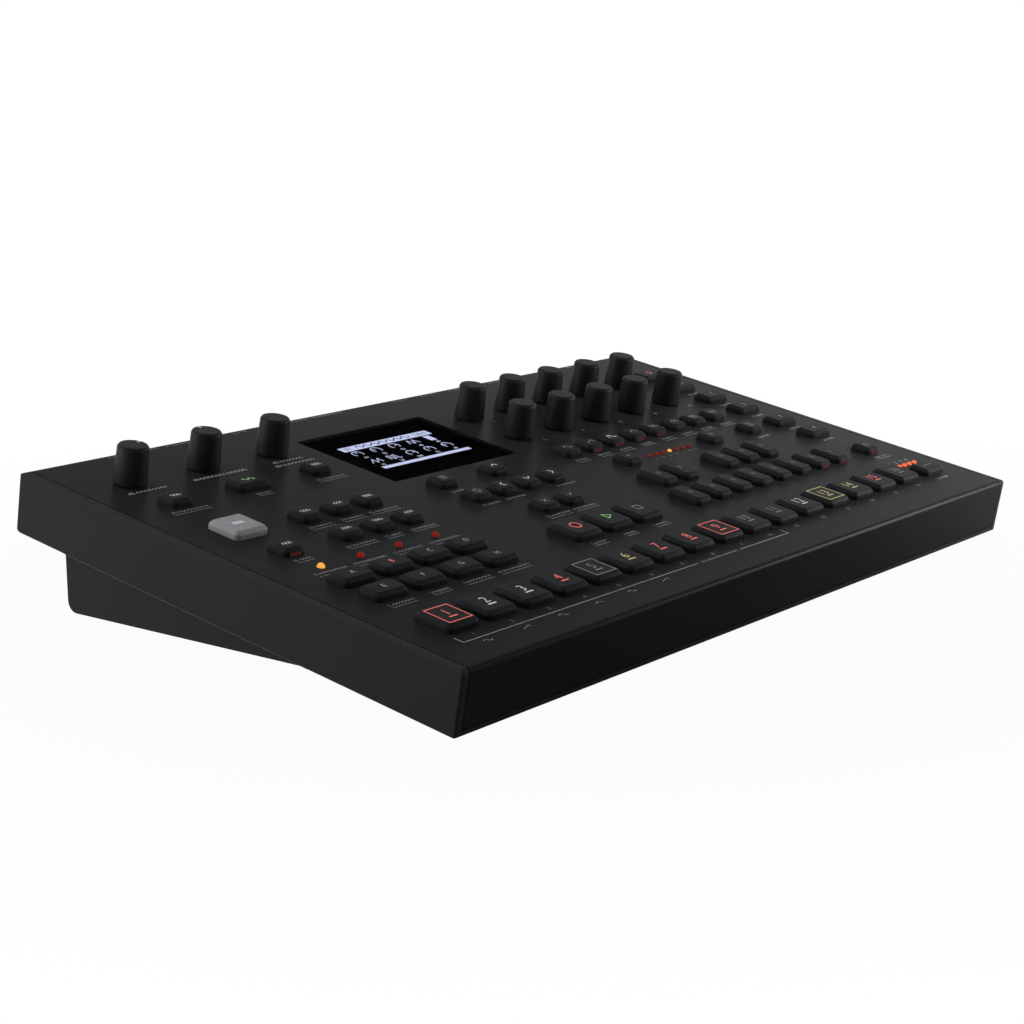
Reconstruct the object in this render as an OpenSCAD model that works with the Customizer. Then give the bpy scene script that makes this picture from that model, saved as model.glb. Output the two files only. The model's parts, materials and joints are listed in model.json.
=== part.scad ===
// Desktop analog synthesizer: a tilted sheet-metal slab with a wedge-shaped housing below its rear half,
// sprung keys, turning knobs, a display window, lamps and a row of rear sockets.
// Millimetres. X runs to the right, Y to the rear, Z up, and the origin is below the middle on the desk.

/* [Case] */
// Width of the slab over its side walls
body_w = 385; // [346:1:460]
// Length of the slab from front edge to rear edge, along its top
body_l = 220; // [198:1:260]
// Thickness of the slab
body_t = 23.8; // [21.5:0.1:30]
// Sheet thickness of cover and chassis
sheet_t = 1.5; // [1.2:0.1:1.7]
// Outer radius of the cover's front fold
bend_r = 2; // [1.8:0.1:4]
// Thickness of the side walls
side_t = 3.4; // [2.5:0.1:4]
// Radius of the outer edges of the side walls
edge_r = 0.8; // [0.4:0.1:1.8]
// Radius of the rear corners of the side walls
corner_r = 2.5; // [2:0.1:3.5]
// Slope of the top against the desk
tilt = 10.4; // [8:0.1:12]
// Gap between the desk and the lower front edge
front_lift = 3; // [2:0.5:8]
// Width of the seam between the cover and the side walls and front lip around it
seam_w = 0.5; // [0.2:0.1:0.8]
// Height of the chassis's front lip over its floor
front_lip = 0.3; // [0.2:0.1:1]
// Length of the rear housing along the slab
housing_run = 127; // [112:1:134]
// Distance from the rear edge to the rear end of the rear housing
housing_rear_inset = 27; // [26:1:34]
// Distance from the sides of the case to the sides of the rear housing
housing_inset = 1.4; // [1:0.1:1.6]
// Radius of the lower rear edge of the housing
housing_r = 4.5; // [3:0.5:8]

/* [Desk feet and stand holes] */
// Distance from a side of the case to the middle of a front foot
front_foot_inset = 40; // [25:1:60]
// Distance from the front edge to the middle of a front foot
front_foot_v = 24; // [16:1:40]
// Distance from a side of the case to the middle of a rear foot
rear_foot_inset = 48; // [40:1:70]
// Distance from the housing's rear face to the middle of a rear foot
rear_foot_setback = 16; // [12:1:30]
// Radius of a foot where it stands on the desk
foot_r = 7.5; // [6:0.5:10]
// How much wider a rear foot is where it meets the housing
foot_flare = 1.5; // [0.5:0.1:3]
// Spacing of the four stand holes
stand_pitch = 100; // [75:25:100]
// Radius of a stand hole for an M4 thread
stand_hole_r = 1.65; // [1.6:0.05:1.75]
// Depth of a stand hole
stand_depth = 7.4; // [6:0.2:9]
// Wall around a stand hole
stand_wall = 2.4; // [1.6:0.1:4]

/* [Keys] */
// Width of a large key
big_w = 16.4; // [15:0.1:19]
// Length of a large key
big_d = 16.4; // [15:0.1:19.6]
// Width of a small key
small_w = 10.3; // [9:0.1:12.6]
// Length of a small key
small_d = 10.3; // [9:0.1:12.6]
// Height of a key above the panel
key_h = 3.2; // [2.6:0.1:5]
// Width and height of the slope around a key's top
key_slope = 1.4; // [1:0.1:1.9]
// Corner radius of a key
key_r = 2.4; // [1.5:0.1:3.5]
// Gap around a key in the panel
key_gap = 0.35; // [0.3:0.05:0.5]
// How far a key goes down
key_travel = 1; // [0.6:0.1:1.2]
// Width of the front and rear lips that hold a key under the panel
lip_w = 1; // [0.8:0.1:1.1]
// Thickness of the lips
lip_t = 1; // [0.8:0.1:1.1]
// Gap between the lips and the panel above them
lip_gap = 0.3; // [0.2:0.05:0.4]
// Radius of a key's stem
stem_r = 1.7; // [1.4:0.1:2]
// Length of the stem inside its switch
stem_seat = 1.1; // [0.8:0.1:1.2]

/* [Key columns] */
// Distance from the left side to the first step key
step_first_u = 27.7; // [24:0.1:31]
// Distance from the right side to the last step key
step_last_inset = 47.5; // [42:0.1:53]
// Distance from the seventh step key's column to the middle column of the display and the arrows
middle_shift = 10.3; // [9.5:0.1:12.1]
// Distance from the tenth step key's column to the first column of the keyboard and the encoders
board_first_shift = 6.9; // [6.2:0.1:9.3]
// Distance from the last step key's column back to the last column of the keyboard
board_last_shift = 4.5; // [3:0.01:5.2]
// Distance from the third step key's column back to the first of the six function keys
six_first_shift = 10.2; // [8.7:0.1:11]
// Distance from the fourth step key's column to the last of the six function keys
six_last_shift = 3.5; // [3.3:0.1:4.3]
// Distance from the right side to the column of the track keys
track_inset = 24.8; // [24.6:0.1:28]

/* [Key rows] */
// Label lines printed in front of the step keys
step_lines = 4.52; // [3.8:0.02:5]
// Label lines between the step keys and the transport keys
natural_lines = 3.18; // [2.6:0.02:3.4]
// Label lines between the lower and the upper keyboard keys
sharp_lines = 1.2; // [0.9:0.1:1.4]
// Label lines between the upper keyboard keys and the octave keys
octave_lines = 1.66; // [1.3:0.02:1.7]
// Gap between the two rows of bank keys
bank_gap = 4.7; // [4:0.1:5.4]
// Gap between the octave keys and the parameter keys
octave_gap = 10.7; // [9:0.1:11.5]
// Gap between the two rows of arrow keys
arrow_gap = 7.7; // [5.9:0.1:8.8]
// Gap between the arrow keys and the pair of keys in front of them
pair_gap = 11.8; // [10:0.1:12.8]
// Gap between the parameter keys and the display module
param_gap = 4.7; // [3.8:0.1:6]
// How far the front edge of the light function key lies behind that of the parameter keys
function_shift = 0.3; // [0:0.1:2]
// Spacing of the track keys
track_pitch = 18.8; // [16.5:0.1:19]
// Distance from the rear edge to the keys in front of the left knobs
quick_inset = 55; // [50:0.5:56]

/* [Knobs] */
// Column of the first left knob
knob_first_u = 27.6; // [25:0.1:31]
// Distance from the fifth step key's column back to the last left knob
knob_last_shift = 7.4; // [5.4:0.1:8.4]
// Distance from the rear edge to the row of the left knobs
knob_inset = 30.5; // [28:0.5:33]
// Distance from the rear edge to the rear row of the data knobs
data_inset = 36.5; // [31:0.5:39]
// Spacing of the two rows of data knobs
data_pitch = 28.5; // [24:0.5:30]
// Radius of a knob at its foot
knob_r = 6.65; // [6:0.05:7.6]
// Radius of a knob at its top
knob_top_r = 6.05; // [5.4:0.05:6.8]
// Height of a knob above the panel
knob_h = 15.7; // [12:0.1:20]
// Width and height of the bevel around a knob's top
knob_edge = 0.65; // [0.3:0.05:1.2]
// Gap between a knob and the panel
knob_gap = 0.6; // [0.5:0.1:1.5]
// Radius of a knob's shaft
shaft_r = 3; // [2.5:0.1:3.4]
// Radial clearance of a turning shaft and of a key stem
run_gap = 0.05; // [0.02:0.01:0.1]

/* [Display and lamps] */
// Width of the display window
window_w = 77.2; // [70:0.1:82]
// Length of the display window
window_d = 55.5; // [50:0.1:58]
// Distance from the rear edge to the middle of the display window
window_inset = 52.2; // [49:0.1:56]
// Corner radius of the display window
window_r = 1.2; // [0.8:0.1:3]
// Gap around the display window and the lamps in the panel
window_gap = 0.1; // [0.05:0.05:0.2]
// How far the display module reaches past the window at each side
module_side = 2.5; // [2:0.1:4]
// How far the display module reaches past the window at the front and the rear
module_end = 2; // [1:0.1:2.4]
// Thickness of the display module
module_t = 3.5; // [2.5:0.1:4]
// Radius of the mode lamps
mode_lamp_r = 1.5; // [1.2:0.1:1.8]
// Gap between the bank keys and the middle of the mode lamps
mode_lamp_gap = 9.5; // [6.6:0.1:10.4]
// Radius of the octave lamps
octave_lamp_r = 1; // [0.8:0.1:1.2]
// Spacing of the octave lamps
octave_lamp_pitch = 5; // [4.4:0.1:5.6]
// Radius of the page lamps
page_lamp_r = 1.2; // [1:0.1:1.4]
// Spacing of the page lamps
page_lamp_pitch = 4.6; // [4:0.1:5.2]
// Gap between the page key and the middle of the page lamps
page_lamp_gap = 4.6; // [3.7:0.1:4.9]

/* [Inside] */
// Height between the cover sheet and the panel board
panel_space = 6.5; // [5.9:0.1:7.3]
// Thickness of the circuit boards
pcb_t = 1.6; // [1.2:0.1:1.8]
// Distance from the sides of the case to the panel board
panel_margin = 7; // [4:0.5:8]
// Distance from the front edge to the panel board
panel_front_v = 9; // [6:0.5:11]
// Distance from the rear edge to the panel board
panel_rear_inset = 17; // [16:0.1:19]
// Distance from the sides of the case to the main board
main_margin = 22; // [18:0.5:25]
// Length of the main board
main_l = 85.5; // [76:0.5:95]
// Gap between the main board and the rear wall
main_gap = 1; // [0.5:0.1:2]
// Gap between the main board and the floor
main_lift = 0.5; // [0.3:0.1:1]
// Width of a key switch
switch_w = 6; // [5:0.1:7]
// Height of a key switch
switch_h = 3.5; // [3.1:0.1:3.9]
// Gap below a key's stem when it is down
switch_gap = 0.3; // [0.2:0.1:0.5]
// Width of an encoder body
encoder_w = 12; // [10:0.1:13]
// Height of an encoder body
encoder_h = 5; // [4:0.1:5.6]
// Wall of an encoder's bush
bush_wall = 0.6; // [0.5:0.05:0.8]
// Gap around an encoder's bush in the panel
bush_gap = 0.3; // [0.2:0.05:0.5]
// Radius of a post between the cover and the boards
post_r = 4; // [3.5:0.1:4.5]
// Radius of the thin part of a post, from the panel board to the floor
pin_r = 2.5; // [2.2:0.1:2.8]
// Distance from a side of the case to the outer posts
post_inset = 11; // [10:0.1:12]
// Gap between the step keys' lips and the front posts
post_gap = 1.4; // [1:0.1:2]
// Distance from the rear wall to the rear posts
rear_post_inset = 12.5; // [11:0.1:13.5]
// Gap between the display module and the posts beside it
stud_gap = 1.6; // [1:0.1:2]
// Distance from a side of the case to the outer legs of the main board
leg_inset = 50; // [40:1:60]
// Distance from the main board's front end to its legs
leg_setback = 8; // [6:0.5:10]
// Radius of a screw
screw_r = 1.45; // [1.2:0.05:1.5]
// Radius of a screw head
screw_head_r = 2.9; // [2.4:0.1:3.2]
// Height of a screw head
screw_head_h = 1.8; // [1.4:0.1:2.2]
// Length of a case screw
screw_l = 7; // [5:0.5:9]
// Reach of a board screw into its post
board_screw_reach = 4; // [3:0.5:5]
// Gap around a screw or a post in a board or a wall
hole_gap = 0.2; // [0.1:0.05:0.4]
// Width of the headers that link the boards
link_w = 44; // [30:1:60]
// Length of a header
link_d = 6; // [4:0.5:8]
// Height of a header
link_h = 3; // [2:0.1:4]
// Thickness of the ribbon between the headers
ribbon_t = 1; // [0.6:0.1:1.4]
// Distance from the main board's front end to the headers
link_setback = 27; // [24:1:30]

/* [Rear sockets] */
// First column of the audio jacks
jack_first_u = 42; // [38:0.5:46]
// Extra space between the two groups of audio jacks
jack_group_gap = 6; // [5:0.5:7]
// Distance from the last audio jack to the first round socket
din_to_jack = 29; // [26:0.5:32]
// Radius of an audio jack's bore
jack_bore_r = 3.25; // [3.2:0.05:3.35]
// Depth of an audio jack's bore
jack_depth = 22; // [18:0.5:24]
// Wall of an audio jack's bush
jack_wall = 1.25; // [1:0.05:1.5]
// Reach of a jack bush behind the rear wall
jack_reach = 3.5; // [3:0.1:5]
// Width of an audio jack's body
jack_body_w = 11; // [10:0.1:12]
// Gap between an audio jack's body and the panel board
jack_top_gap = 0.6; // [0.4:0.1:1]
// Wall of a jack nut, across its corners
nut_wall = 1.9; // [1.5:0.1:2.4]
// Thickness of a jack nut
nut_t = 2; // [1.5:0.1:2.6]
// Spacing of the round five-pin sockets
din_pitch = 23; // [20.5:0.5:26]
// Distance from the computer socket to the last round socket
usb_to_din = 28; // [24:0.5:32]
// Radius of a round socket's face
din_r = 7.6; // [7:0.1:7.8]
// Width of a round socket's body
din_body_w = 18; // [17:0.1:20]
// Length of a round socket's body
din_body_l = 14; // [12:0.5:15]
// Gap between a round socket's body and the cover
din_top_gap = 1.1; // [0.8:0.1:1.4]
// Radius of the ring of pin holes
din_pin_ring = 4.2; // [4:0.1:4.4]
// Radius of a pin hole
din_pin_r = 0.9; // [0.7:0.05:1]
// Depth of the pin holes and of the groove around them
din_depth = 6; // [4:0.5:8]
// Width of the groove and of the wall around it
din_groove = 0.8; // [0.6:0.05:1]
// Distance from the power inlet to the computer socket
inlet_to_usb = 20; // [17.5:0.5:22.5]
// Width of the computer socket
usb_w = 12; // [11:0.1:13]
// Height of the computer socket
usb_h = 10.8; // [10:0.1:12]
// Length of the computer socket's body
usb_l = 14; // [12:0.5:16]
// Wall at the sides of the computer socket
usb_wall = 1.7; // [1.2:0.1:2]
// Depth of the computer socket's opening
usb_depth = 9.9; // [8:0.1:11]
// Width of the tongue in the computer socket
usb_tongue_w = 5.6; // [5:0.1:6.2]
// Height of the tongue in the computer socket
usb_tongue_h = 3.2; // [2.8:0.1:3.6]
// Distance from the power button to the power inlet
power_to_inlet = 22; // [19:0.5:25]
// Radius of the power inlet's face
inlet_r = 4.4; // [4:0.1:4.9]
// Radius of the power inlet's opening
inlet_hole_r = 3; // [2.7:0.05:3.3]
// Radius of the pin in the power inlet
inlet_pin_r = 1; // [0.8:0.05:1.2]
// Depth of the power inlet's opening
inlet_depth = 9; // [8:0.5:10]
// Width of the power inlet's body
inlet_body_w = 10; // [9.5:0.1:12]
// Height of the power inlet's and the power switch's bodies
inlet_body_h = 12; // [11:0.5:13]
// Distance from the right side to the power button
power_inset = 45; // [40:0.5:50]
// Radius of the power button
power_r = 4; // [3:0.1:4.5]
// Width of the power switch's body
power_body_w = 12; // [11:0.1:13.5]
// Length of the power switch's body
power_body_l = 14; // [13:0.5:16]
// Wall at the inner end of the power switch's body
power_end_wall = 2; // [1.5:0.1:2.4]
// How far the power button goes in
power_travel = 2; // [1:0.1:2.4]
// Gap behind the power button when it is in
power_end_gap = 0.4; // [0.2:0.1:0.6]
// Reach of the power button behind the rear wall
power_reach = 3; // [2.6:0.1:3.4]
// Reach of the socket faces behind the rear wall
face_reach = 0.5; // [0.2:0.1:0.6]
// Gap around the sockets in the rear wall
socket_gap = 0.2; // [0.1:0.05:0.4]

/* [Hidden] */
$fn = 48;
// Small overlap of shapes that are joined, and the length by which a cut passes its wall
eps = 0.02;
past = 1;

// Heights in the slab, measured from its top face along its normal
lip_top_w = -sheet_t - lip_gap;
lip_bottom_w = lip_top_w - lip_t;
panel_w = -sheet_t - panel_space;
panel_under_w = panel_w - pcb_t;
switch_top_w = panel_w + switch_h;
stem_end_w = switch_top_w - stem_seat;
switch_bore_w = stem_end_w - key_travel - switch_gap;
floor_w = -body_t + sheet_t;
main_under_w = floor_w + main_lift;
main_w = main_under_w + pcb_t;
jack_body_h = panel_under_w - jack_top_gap - main_w;
jack_body_l = jack_depth + past;
jack_w = main_w + jack_body_h / 2;
jack_bush_r = jack_bore_r + jack_wall;
wall_v = body_l - sheet_t;
jack_end_v = body_l + jack_reach;
din_body_h = -sheet_t - din_top_gap - main_w;
din_w = main_w + din_body_h / 2;
inlet_w = main_w + inlet_body_h / 2;

// The slab's place over the desk
housing_front_v = body_l - housing_rear_inset - housing_run;
housing_l = housing_run * cos(tilt);
housing_h = housing_run * sin(tilt);
slab_z = front_lift + body_t * cos(tilt);
front_y = bend_r * (cos(tilt) + sin(tilt) - 1);
rear_y = jack_end_v * cos(tilt) + (jack_bush_r - jack_w) * sin(tilt);
slab_y = -(front_y + rear_y) / 2;
housing_z = front_lift + housing_front_v * sin(tilt);
housing_y = slab_y + housing_front_v * cos(tilt) + body_t * sin(tilt);
cover_u = side_t + seam_w;
front_lip_w = floor_w + front_lip;

// Columns of the controls: the step keys fill the width, and the other blocks stand on their columns
step_pitch = (body_w - step_first_u - step_last_inset) / 15;
function step_u(i) = step_first_u + i * step_pitch;
middle_u = step_u(6) + middle_shift;
board_first_u = step_u(9) + board_first_shift;
small_pitch = (step_u(15) - board_last_shift - board_first_u) / 7;
encoder_pitch = small_pitch * 7 / 4;
six_first_u = step_u(2) - six_first_shift;
six_pitch = (step_u(3) + six_last_shift - six_first_u) / 2;
knob_pitch = (step_u(4) - knob_last_shift - knob_first_u) / 2;
track_u = body_w - track_inset;
function col(i) = board_first_u + i * small_pitch;
function arrow_u(i) = middle_u + (i - 1.5) * small_pitch;

// Rows of the controls: the rear ones keep to the rear edge, and the front ones share what is left
window_v = body_l - window_inset;
knob_v = body_l - knob_inset;
data_rear_v = body_l - data_inset;
data_front_v = data_rear_v - data_pitch;
quick_v = body_l - quick_inset;
param_v = window_v - window_d / 2 - module_end - param_gap - small_d / 2;
octave_v = param_v - small_d - octave_gap;
arrow_v = param_v - small_d - arrow_gap;
pair_v = arrow_v - small_d - pair_gap;
line_d = (octave_v - small_d / 2 - 3 * big_d) / (step_lines + natural_lines + sharp_lines + octave_lines);
step_v = step_lines * line_d + big_d / 2;
natural_v = step_v + big_d + natural_lines * line_d;
sharp_v = natural_v + big_d + sharp_lines * line_d;
row_step = (big_d - small_d) / 2;
bank_front_v = natural_v - row_step;
bank_rear_v = bank_front_v + small_d + bank_gap;
page_v = step_v - row_step;
mode_lamp_v = bank_rear_v + small_d / 2 + mode_lamp_gap;
page_lamp_v = page_v + small_d / 2 + page_lamp_gap;

// Places of the controls: column, row, width and length
step_keys = [for (i = [0 : 15]) [step_u(i), step_v, big_w, big_d]];
transport_keys = [for (i = [-1 : 1]) [middle_u + i * step_pitch, natural_v, big_w, big_d]];
function_key = [step_u(0), param_v + row_step + function_shift, big_w, big_d];
bank_keys = [for (v = [bank_rear_v, bank_front_v]) for (i = [0 : 3]) [step_u(i), v, big_w, small_d]];
natural_keys = [for (i = [0 : 7]) [col(i), natural_v, small_w, big_d]];
sharp_keys = [for (i = [0.5, 1.5, 3.5, 4.5, 5.5]) [col(i), sharp_v, small_w, big_d]];
param_keys = [for (i = [0 : 7]) [col(i), param_v, small_w, small_d]];
arrow_keys = [
    for (p = [[0, param_v], [2, param_v], [0, arrow_v], [1, arrow_v], [2, arrow_v], [3, arrow_v],
              [1, pair_v], [2, pair_v]])
        [arrow_u(p[0]), p[1], small_w, small_d]
];
track_rows = concat(
    [for (i = [3 : -1 : 0]) param_v + i * track_pitch],
    [octave_v, octave_v - track_pitch]
);
track_keys = [for (v = track_rows) [track_u, v, big_w, small_d]];
left_keys = concat(
    [
        [step_u(0), quick_v, small_w, small_d],
        [knob_first_u + knob_pitch, quick_v, big_w, small_d],
        [knob_first_u + 2 * knob_pitch, quick_v, small_w, small_d],
        [step_u(0), octave_v, small_w, small_d]
    ],
    [for (v = [param_v, octave_v]) for (i = [0 : 2]) [six_first_u + i * six_pitch, v, small_w, small_d]]
);
right_keys = [
    [col(1), octave_v, small_w, small_d],
    [col(5), octave_v, small_w, small_d],
    [col(7), octave_v, small_w, small_d],
    [track_u, bank_front_v, small_w, small_d],
    [track_u, page_v, big_w, small_d]
];
all_keys = concat(step_keys, transport_keys, [function_key], bank_keys, natural_keys, sharp_keys,
                  param_keys, arrow_keys, track_keys, left_keys, right_keys);
left_knobs = [for (i = [0 : 2]) [knob_first_u + i * knob_pitch, knob_v]];
data_knobs = [for (v = [data_rear_v, data_front_v]) for (i = [0 : 4]) [board_first_u + i * encoder_pitch, v]];
all_knobs = concat(left_knobs, data_knobs);
lamp_places = concat(
    [for (i = [0 : 3]) [step_u(i), mode_lamp_v, mode_lamp_r]],
    [for (i = [-3 : 3]) [col(3) + i * octave_lamp_pitch, octave_v, octave_lamp_r]],
    [for (i = [0 : 3]) [track_u + (i - 1.5) * page_lamp_pitch, page_lamp_v, page_lamp_r]]
);

// Columns of the rear sockets, counted from the right side, with the jacks spread over what is left
power_u = body_w - power_inset;
inlet_u = power_u - power_to_inlet;
usb_u = inlet_u - inlet_to_usb;
din_first_u = usb_u - usb_to_din - 2 * din_pitch;
din_places = [for (i = [0 : 2]) din_first_u + i * din_pitch];
jack_pitch = (din_first_u - din_to_jack - jack_group_gap - jack_first_u) / 7;
jack_places = [for (i = [0 : 7]) jack_first_u + i * jack_pitch + (i > 3 ? jack_group_gap : 0)];

// Posts that run from the cover to the floor, short ones that end at the panel board,
// and spacers and legs that carry the main board
frame_w = window_w + 2 * module_side;
frame_d = window_d + 2 * module_end;
front_post_v = step_v + big_d / 2 + lip_w + post_gap + post_r;
rear_post_v = wall_v - rear_post_inset;
main_front_v = wall_v - main_gap - main_l;
function between(a, b) = (a + b) / 2;
post_columns = [
    post_inset,
    between(jack_places[3], jack_places[4]),
    between(jack_places[7], din_first_u),
    body_w - post_inset
];
post_places = [for (v = [front_post_v, rear_post_v]) for (u = post_columns) [u, v]];
stud_reach = frame_w / 2 + stud_gap + post_r;
stud_columns = [post_inset, middle_u - stud_reach, middle_u + stud_reach, body_w - post_inset];
stud_places = [for (u = stud_columns) [u, between(param_v, data_front_v)]];
spacer_columns = [
    between(jack_places[0], jack_places[1]),
    between(jack_places[5], jack_places[6]),
    between(inlet_u, power_u)
];
spacer_places = [for (u = spacer_columns) [u, rear_post_v]];
leg_places = [for (u = [leg_inset, body_w / 2, body_w - leg_inset]) [u, main_front_v + leg_setback]];

// Stands its children on the tilted slab: X along its width, Y along its top, Z out of its top
module on_slab() {
    translate([-body_w / 2, slab_y, slab_z])
        rotate([tilt, 0, 0])
            children();
}

// Turns an upright cylinder so that it points out of the slab's rear wall
module rearward(u, v, w) {
    translate([u, v, w])
        rotate([-90, 0, 0])
            children();
}

module round_rect(a, b, r) {
    square([a - 2 * r, b], center = true);
    square([a, b - 2 * r], center = true);
    for (x = [-1, 1], y = [-1, 1])
        translate([x * (a / 2 - r), y * (b / 2 - r)])
            circle(r);
}

// Outline of the case across its width, with rounded upper edges
module width_outline() {
    translate([0, -body_t])
        square([body_w, body_t - edge_r]);
    translate([edge_r, -body_t])
        square([body_w - 2 * edge_r, body_t]);
    for (u = [edge_r, body_w - edge_r])
        translate([u, -edge_r])
            circle(edge_r);
}

// Outline of the case along its length, rounded at the front fold and at the rear
module length_outline() {
    translate([0, -body_t])
        square([body_l - corner_r, body_t - bend_r]);
    translate([bend_r, -body_t])
        square([body_l - bend_r - corner_r, body_t]);
    translate([bend_r, corner_r - body_t])
        square([body_l - bend_r, body_t - 2 * corner_r]);
    translate([bend_r, -bend_r])
        circle(bend_r);
    for (w = [-corner_r, corner_r - body_t])
        translate([body_l - corner_r, w])
            circle(corner_r);
}

// Turns an outline along the length into a block from one column to another
module across(from_u, to_u) {
    translate([from_u, 0, 0])
        rotate([90, 0, 90])
            linear_extrude(height = to_u - from_u)
                children();
}

module case_block() {
    intersection() {
        translate([0, body_l, 0])
            rotate([90, 0, 0])
                linear_extrude(height = body_l)
                    width_outline();
        across(0, body_w)
            length_outline();
        translate([body_w / 2, body_l / 2, -body_t])
            linear_extrude(height = body_t)
                round_rect(body_w, body_l, edge_r);
    }
}

// Outline of the cover: a top that folds down at the front and ends above the chassis's lip
module cover_outline() {
    difference() {
        length_outline();
        translate([bend_r, -body_t])
            square([body_l, body_t - sheet_t]);
        translate([sheet_t, -body_t])
            square([body_l, body_t - bend_r]);
        translate([bend_r, -bend_r])
            circle(bend_r - sheet_t);
        translate([-past, -body_t])
            square([body_l, front_lip_w + seam_w + body_t]);
    }
}

module panel_openings() {
    for (k = all_keys)
        translate([k[0], k[1]])
            round_rect(k[2] + 2 * key_gap, k[3] + 2 * key_gap, key_r + key_gap);
    for (k = all_knobs)
        translate(k)
            circle(shaft_r + bush_wall + bush_gap);
    for (l = lamp_places)
        translate([l[0], l[1]])
            circle(l[2] + window_gap);
    translate([middle_u, window_v])
        round_rect(window_w + 2 * window_gap, window_d + 2 * window_gap, window_r + window_gap);
}

module top_cover() {
    color("#2b2c2e")
        on_slab()
            difference() {
                across(cover_u, body_w - cover_u)
                    cover_outline();
                translate([0, 0, -sheet_t - past])
                    linear_extrude(height = sheet_t + 2 * past)
                        panel_openings();
            }
}

// Outline of the rear housing: its floor is level, its rear face is upright on the desk,
// and its upper edge reaches into the floor of the slab
module housing_outline() {
    root = sheet_t / 2;
    difference() {
        polygon([[0, 0], [housing_l, 0], [housing_l, housing_h + root], [0, root]]);
        translate([housing_l - housing_r, -past])
            square([housing_r + past, housing_r + past]);
    }
    translate([housing_l - housing_r, housing_r])
        circle(housing_r);
}

module housing_hollow() {
    rise = sheet_t / cos(tilt) + past;
    run = housing_l - sheet_t;
    r = housing_r - sheet_t;
    difference() {
        polygon([[0, sheet_t], [run, sheet_t], [run, run * tan(tilt) + rise], [0, rise]]);
        translate([run - r, sheet_t - past])
            square([r + past, r + past]);
    }
    translate([run - r, sheet_t + r])
        circle(r);
}

module on_housing() {
    translate([housing_front_v, -body_t])
        rotate(-tilt)
            children();
}

// Outline of the room between the side walls: over the floor and the lip, for the cover, and in the housing
module chassis_hollow() {
    translate([sheet_t, floor_w])
        square([wall_v - sheet_t, body_t]);
    translate([-past, front_lip_w])
        square([wall_v + past, body_t]);
    translate([-past, -sheet_t])
        square([body_l + 2 * past, body_t]);
    on_housing()
        housing_hollow();
}

module rear_openings() {
    for (u = jack_places)
        rearward(u, wall_v - past, jack_w)
            cylinder(h = sheet_t + 2 * past, r = jack_bush_r + socket_gap);
    for (u = din_places)
        rearward(u, wall_v - past, din_w)
            cylinder(h = sheet_t + 2 * past, r = din_r + socket_gap);
    translate([usb_u - usb_w / 2 - socket_gap, wall_v - past, main_w - socket_gap])
        cube([usb_w + 2 * socket_gap, sheet_t + 2 * past, usb_h + 2 * socket_gap]);
    rearward(inlet_u, wall_v - past, inlet_w)
        cylinder(h = sheet_t + 2 * past, r = inlet_r + socket_gap);
    rearward(power_u, wall_v - past, inlet_w)
        cylinder(h = sheet_t + 2 * past, r = power_r + 2 * socket_gap);
}

module stand_places() {
    for (x = [-1, 1], y = [-1, 1])
        translate([x * stand_pitch / 2, housing_y + housing_l / 2 + y * stand_pitch / 2, housing_z])
            children();
}

module base_chassis() {
    color("#232425")
        difference() {
            union() {
                on_slab()
                    difference() {
                        union() {
                            case_block();
                            across(housing_inset, body_w - housing_inset)
                                on_housing()
                                    housing_outline();
                        }
                        across(side_t, body_w - side_t)
                            chassis_hollow();
                        rear_openings();
                        for (p = post_places)
                            translate([p[0], p[1], -body_t - past])
                                cylinder(h = sheet_t + 2 * past, r = screw_r + hole_gap);
                    }
                stand_places()
                    translate([0, 0, sheet_t / 2])
                        cylinder(h = stand_depth - sheet_t / 2, r = stand_hole_r + stand_wall);
            }
            stand_places()
                translate([0, 0, -past])
                    cylinder(h = stand_depth + 2 * past, r = stand_hole_r);
        }
}

module rubber_feet() {
    color("#1a1a1a") {
        difference() {
            for (x = [-1, 1])
                translate([x * (body_w / 2 - front_foot_inset), slab_y + front_foot_v, 0])
                    cylinder(h = body_t, r = foot_r);
            on_slab()
                translate([0, 0, -body_t])
                    cube([body_w, body_l, body_t]);
        }
        for (x = [-1, 1])
            translate([x * (body_w / 2 - rear_foot_inset), housing_y + housing_l - rear_foot_setback, 0])
                cylinder(h = housing_z, r1 = foot_r, r2 = foot_r + foot_flare);
    }
}

module display_window() {
    color("#0b0c0e")
        on_slab()
            translate([middle_u, window_v, -sheet_t])
                linear_extrude(height = sheet_t)
                    round_rect(window_w, window_d, window_r);
}

// A flat module under the window on four pillars from the panel board
module display_module() {
    pillar_inset = pin_r + module_end / 2;
    color("#3a3d40")
        on_slab()
            translate([middle_u, window_v, 0]) {
                translate([-frame_w / 2, -frame_d / 2, -sheet_t - module_t])
                    cube([frame_w, frame_d, module_t]);
                for (x = [-1, 1], y = [-1, 1])
                    translate([x * (frame_w / 2 - pillar_inset), y * (frame_d / 2 - pillar_inset), panel_w])
                        cylinder(h = panel_space - module_t + eps, r = pin_r);
            }
}

module panel_board() {
    color("#1e5a3a")
        on_slab()
            translate([0, 0, panel_under_w])
                linear_extrude(height = pcb_t)
                    difference() {
                        translate([panel_margin, panel_front_v])
                            square([body_w - 2 * panel_margin, body_l - panel_rear_inset - panel_front_v]);
                        for (p = post_places)
                            translate(p)
                                circle(pin_r + hole_gap);
                        for (p = stud_places)
                            translate(p)
                                circle(screw_r + hole_gap);
                    }
}

module main_board() {
    color("#1c4f58")
        on_slab()
            translate([0, 0, main_under_w])
                linear_extrude(height = pcb_t)
                    difference() {
                        translate([main_margin, main_front_v])
                            square([body_w - 2 * main_margin, main_l]);
                        for (p = post_places)
                            translate(p)
                                circle(pin_r + 2 * hole_gap);
                    }
}

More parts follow.
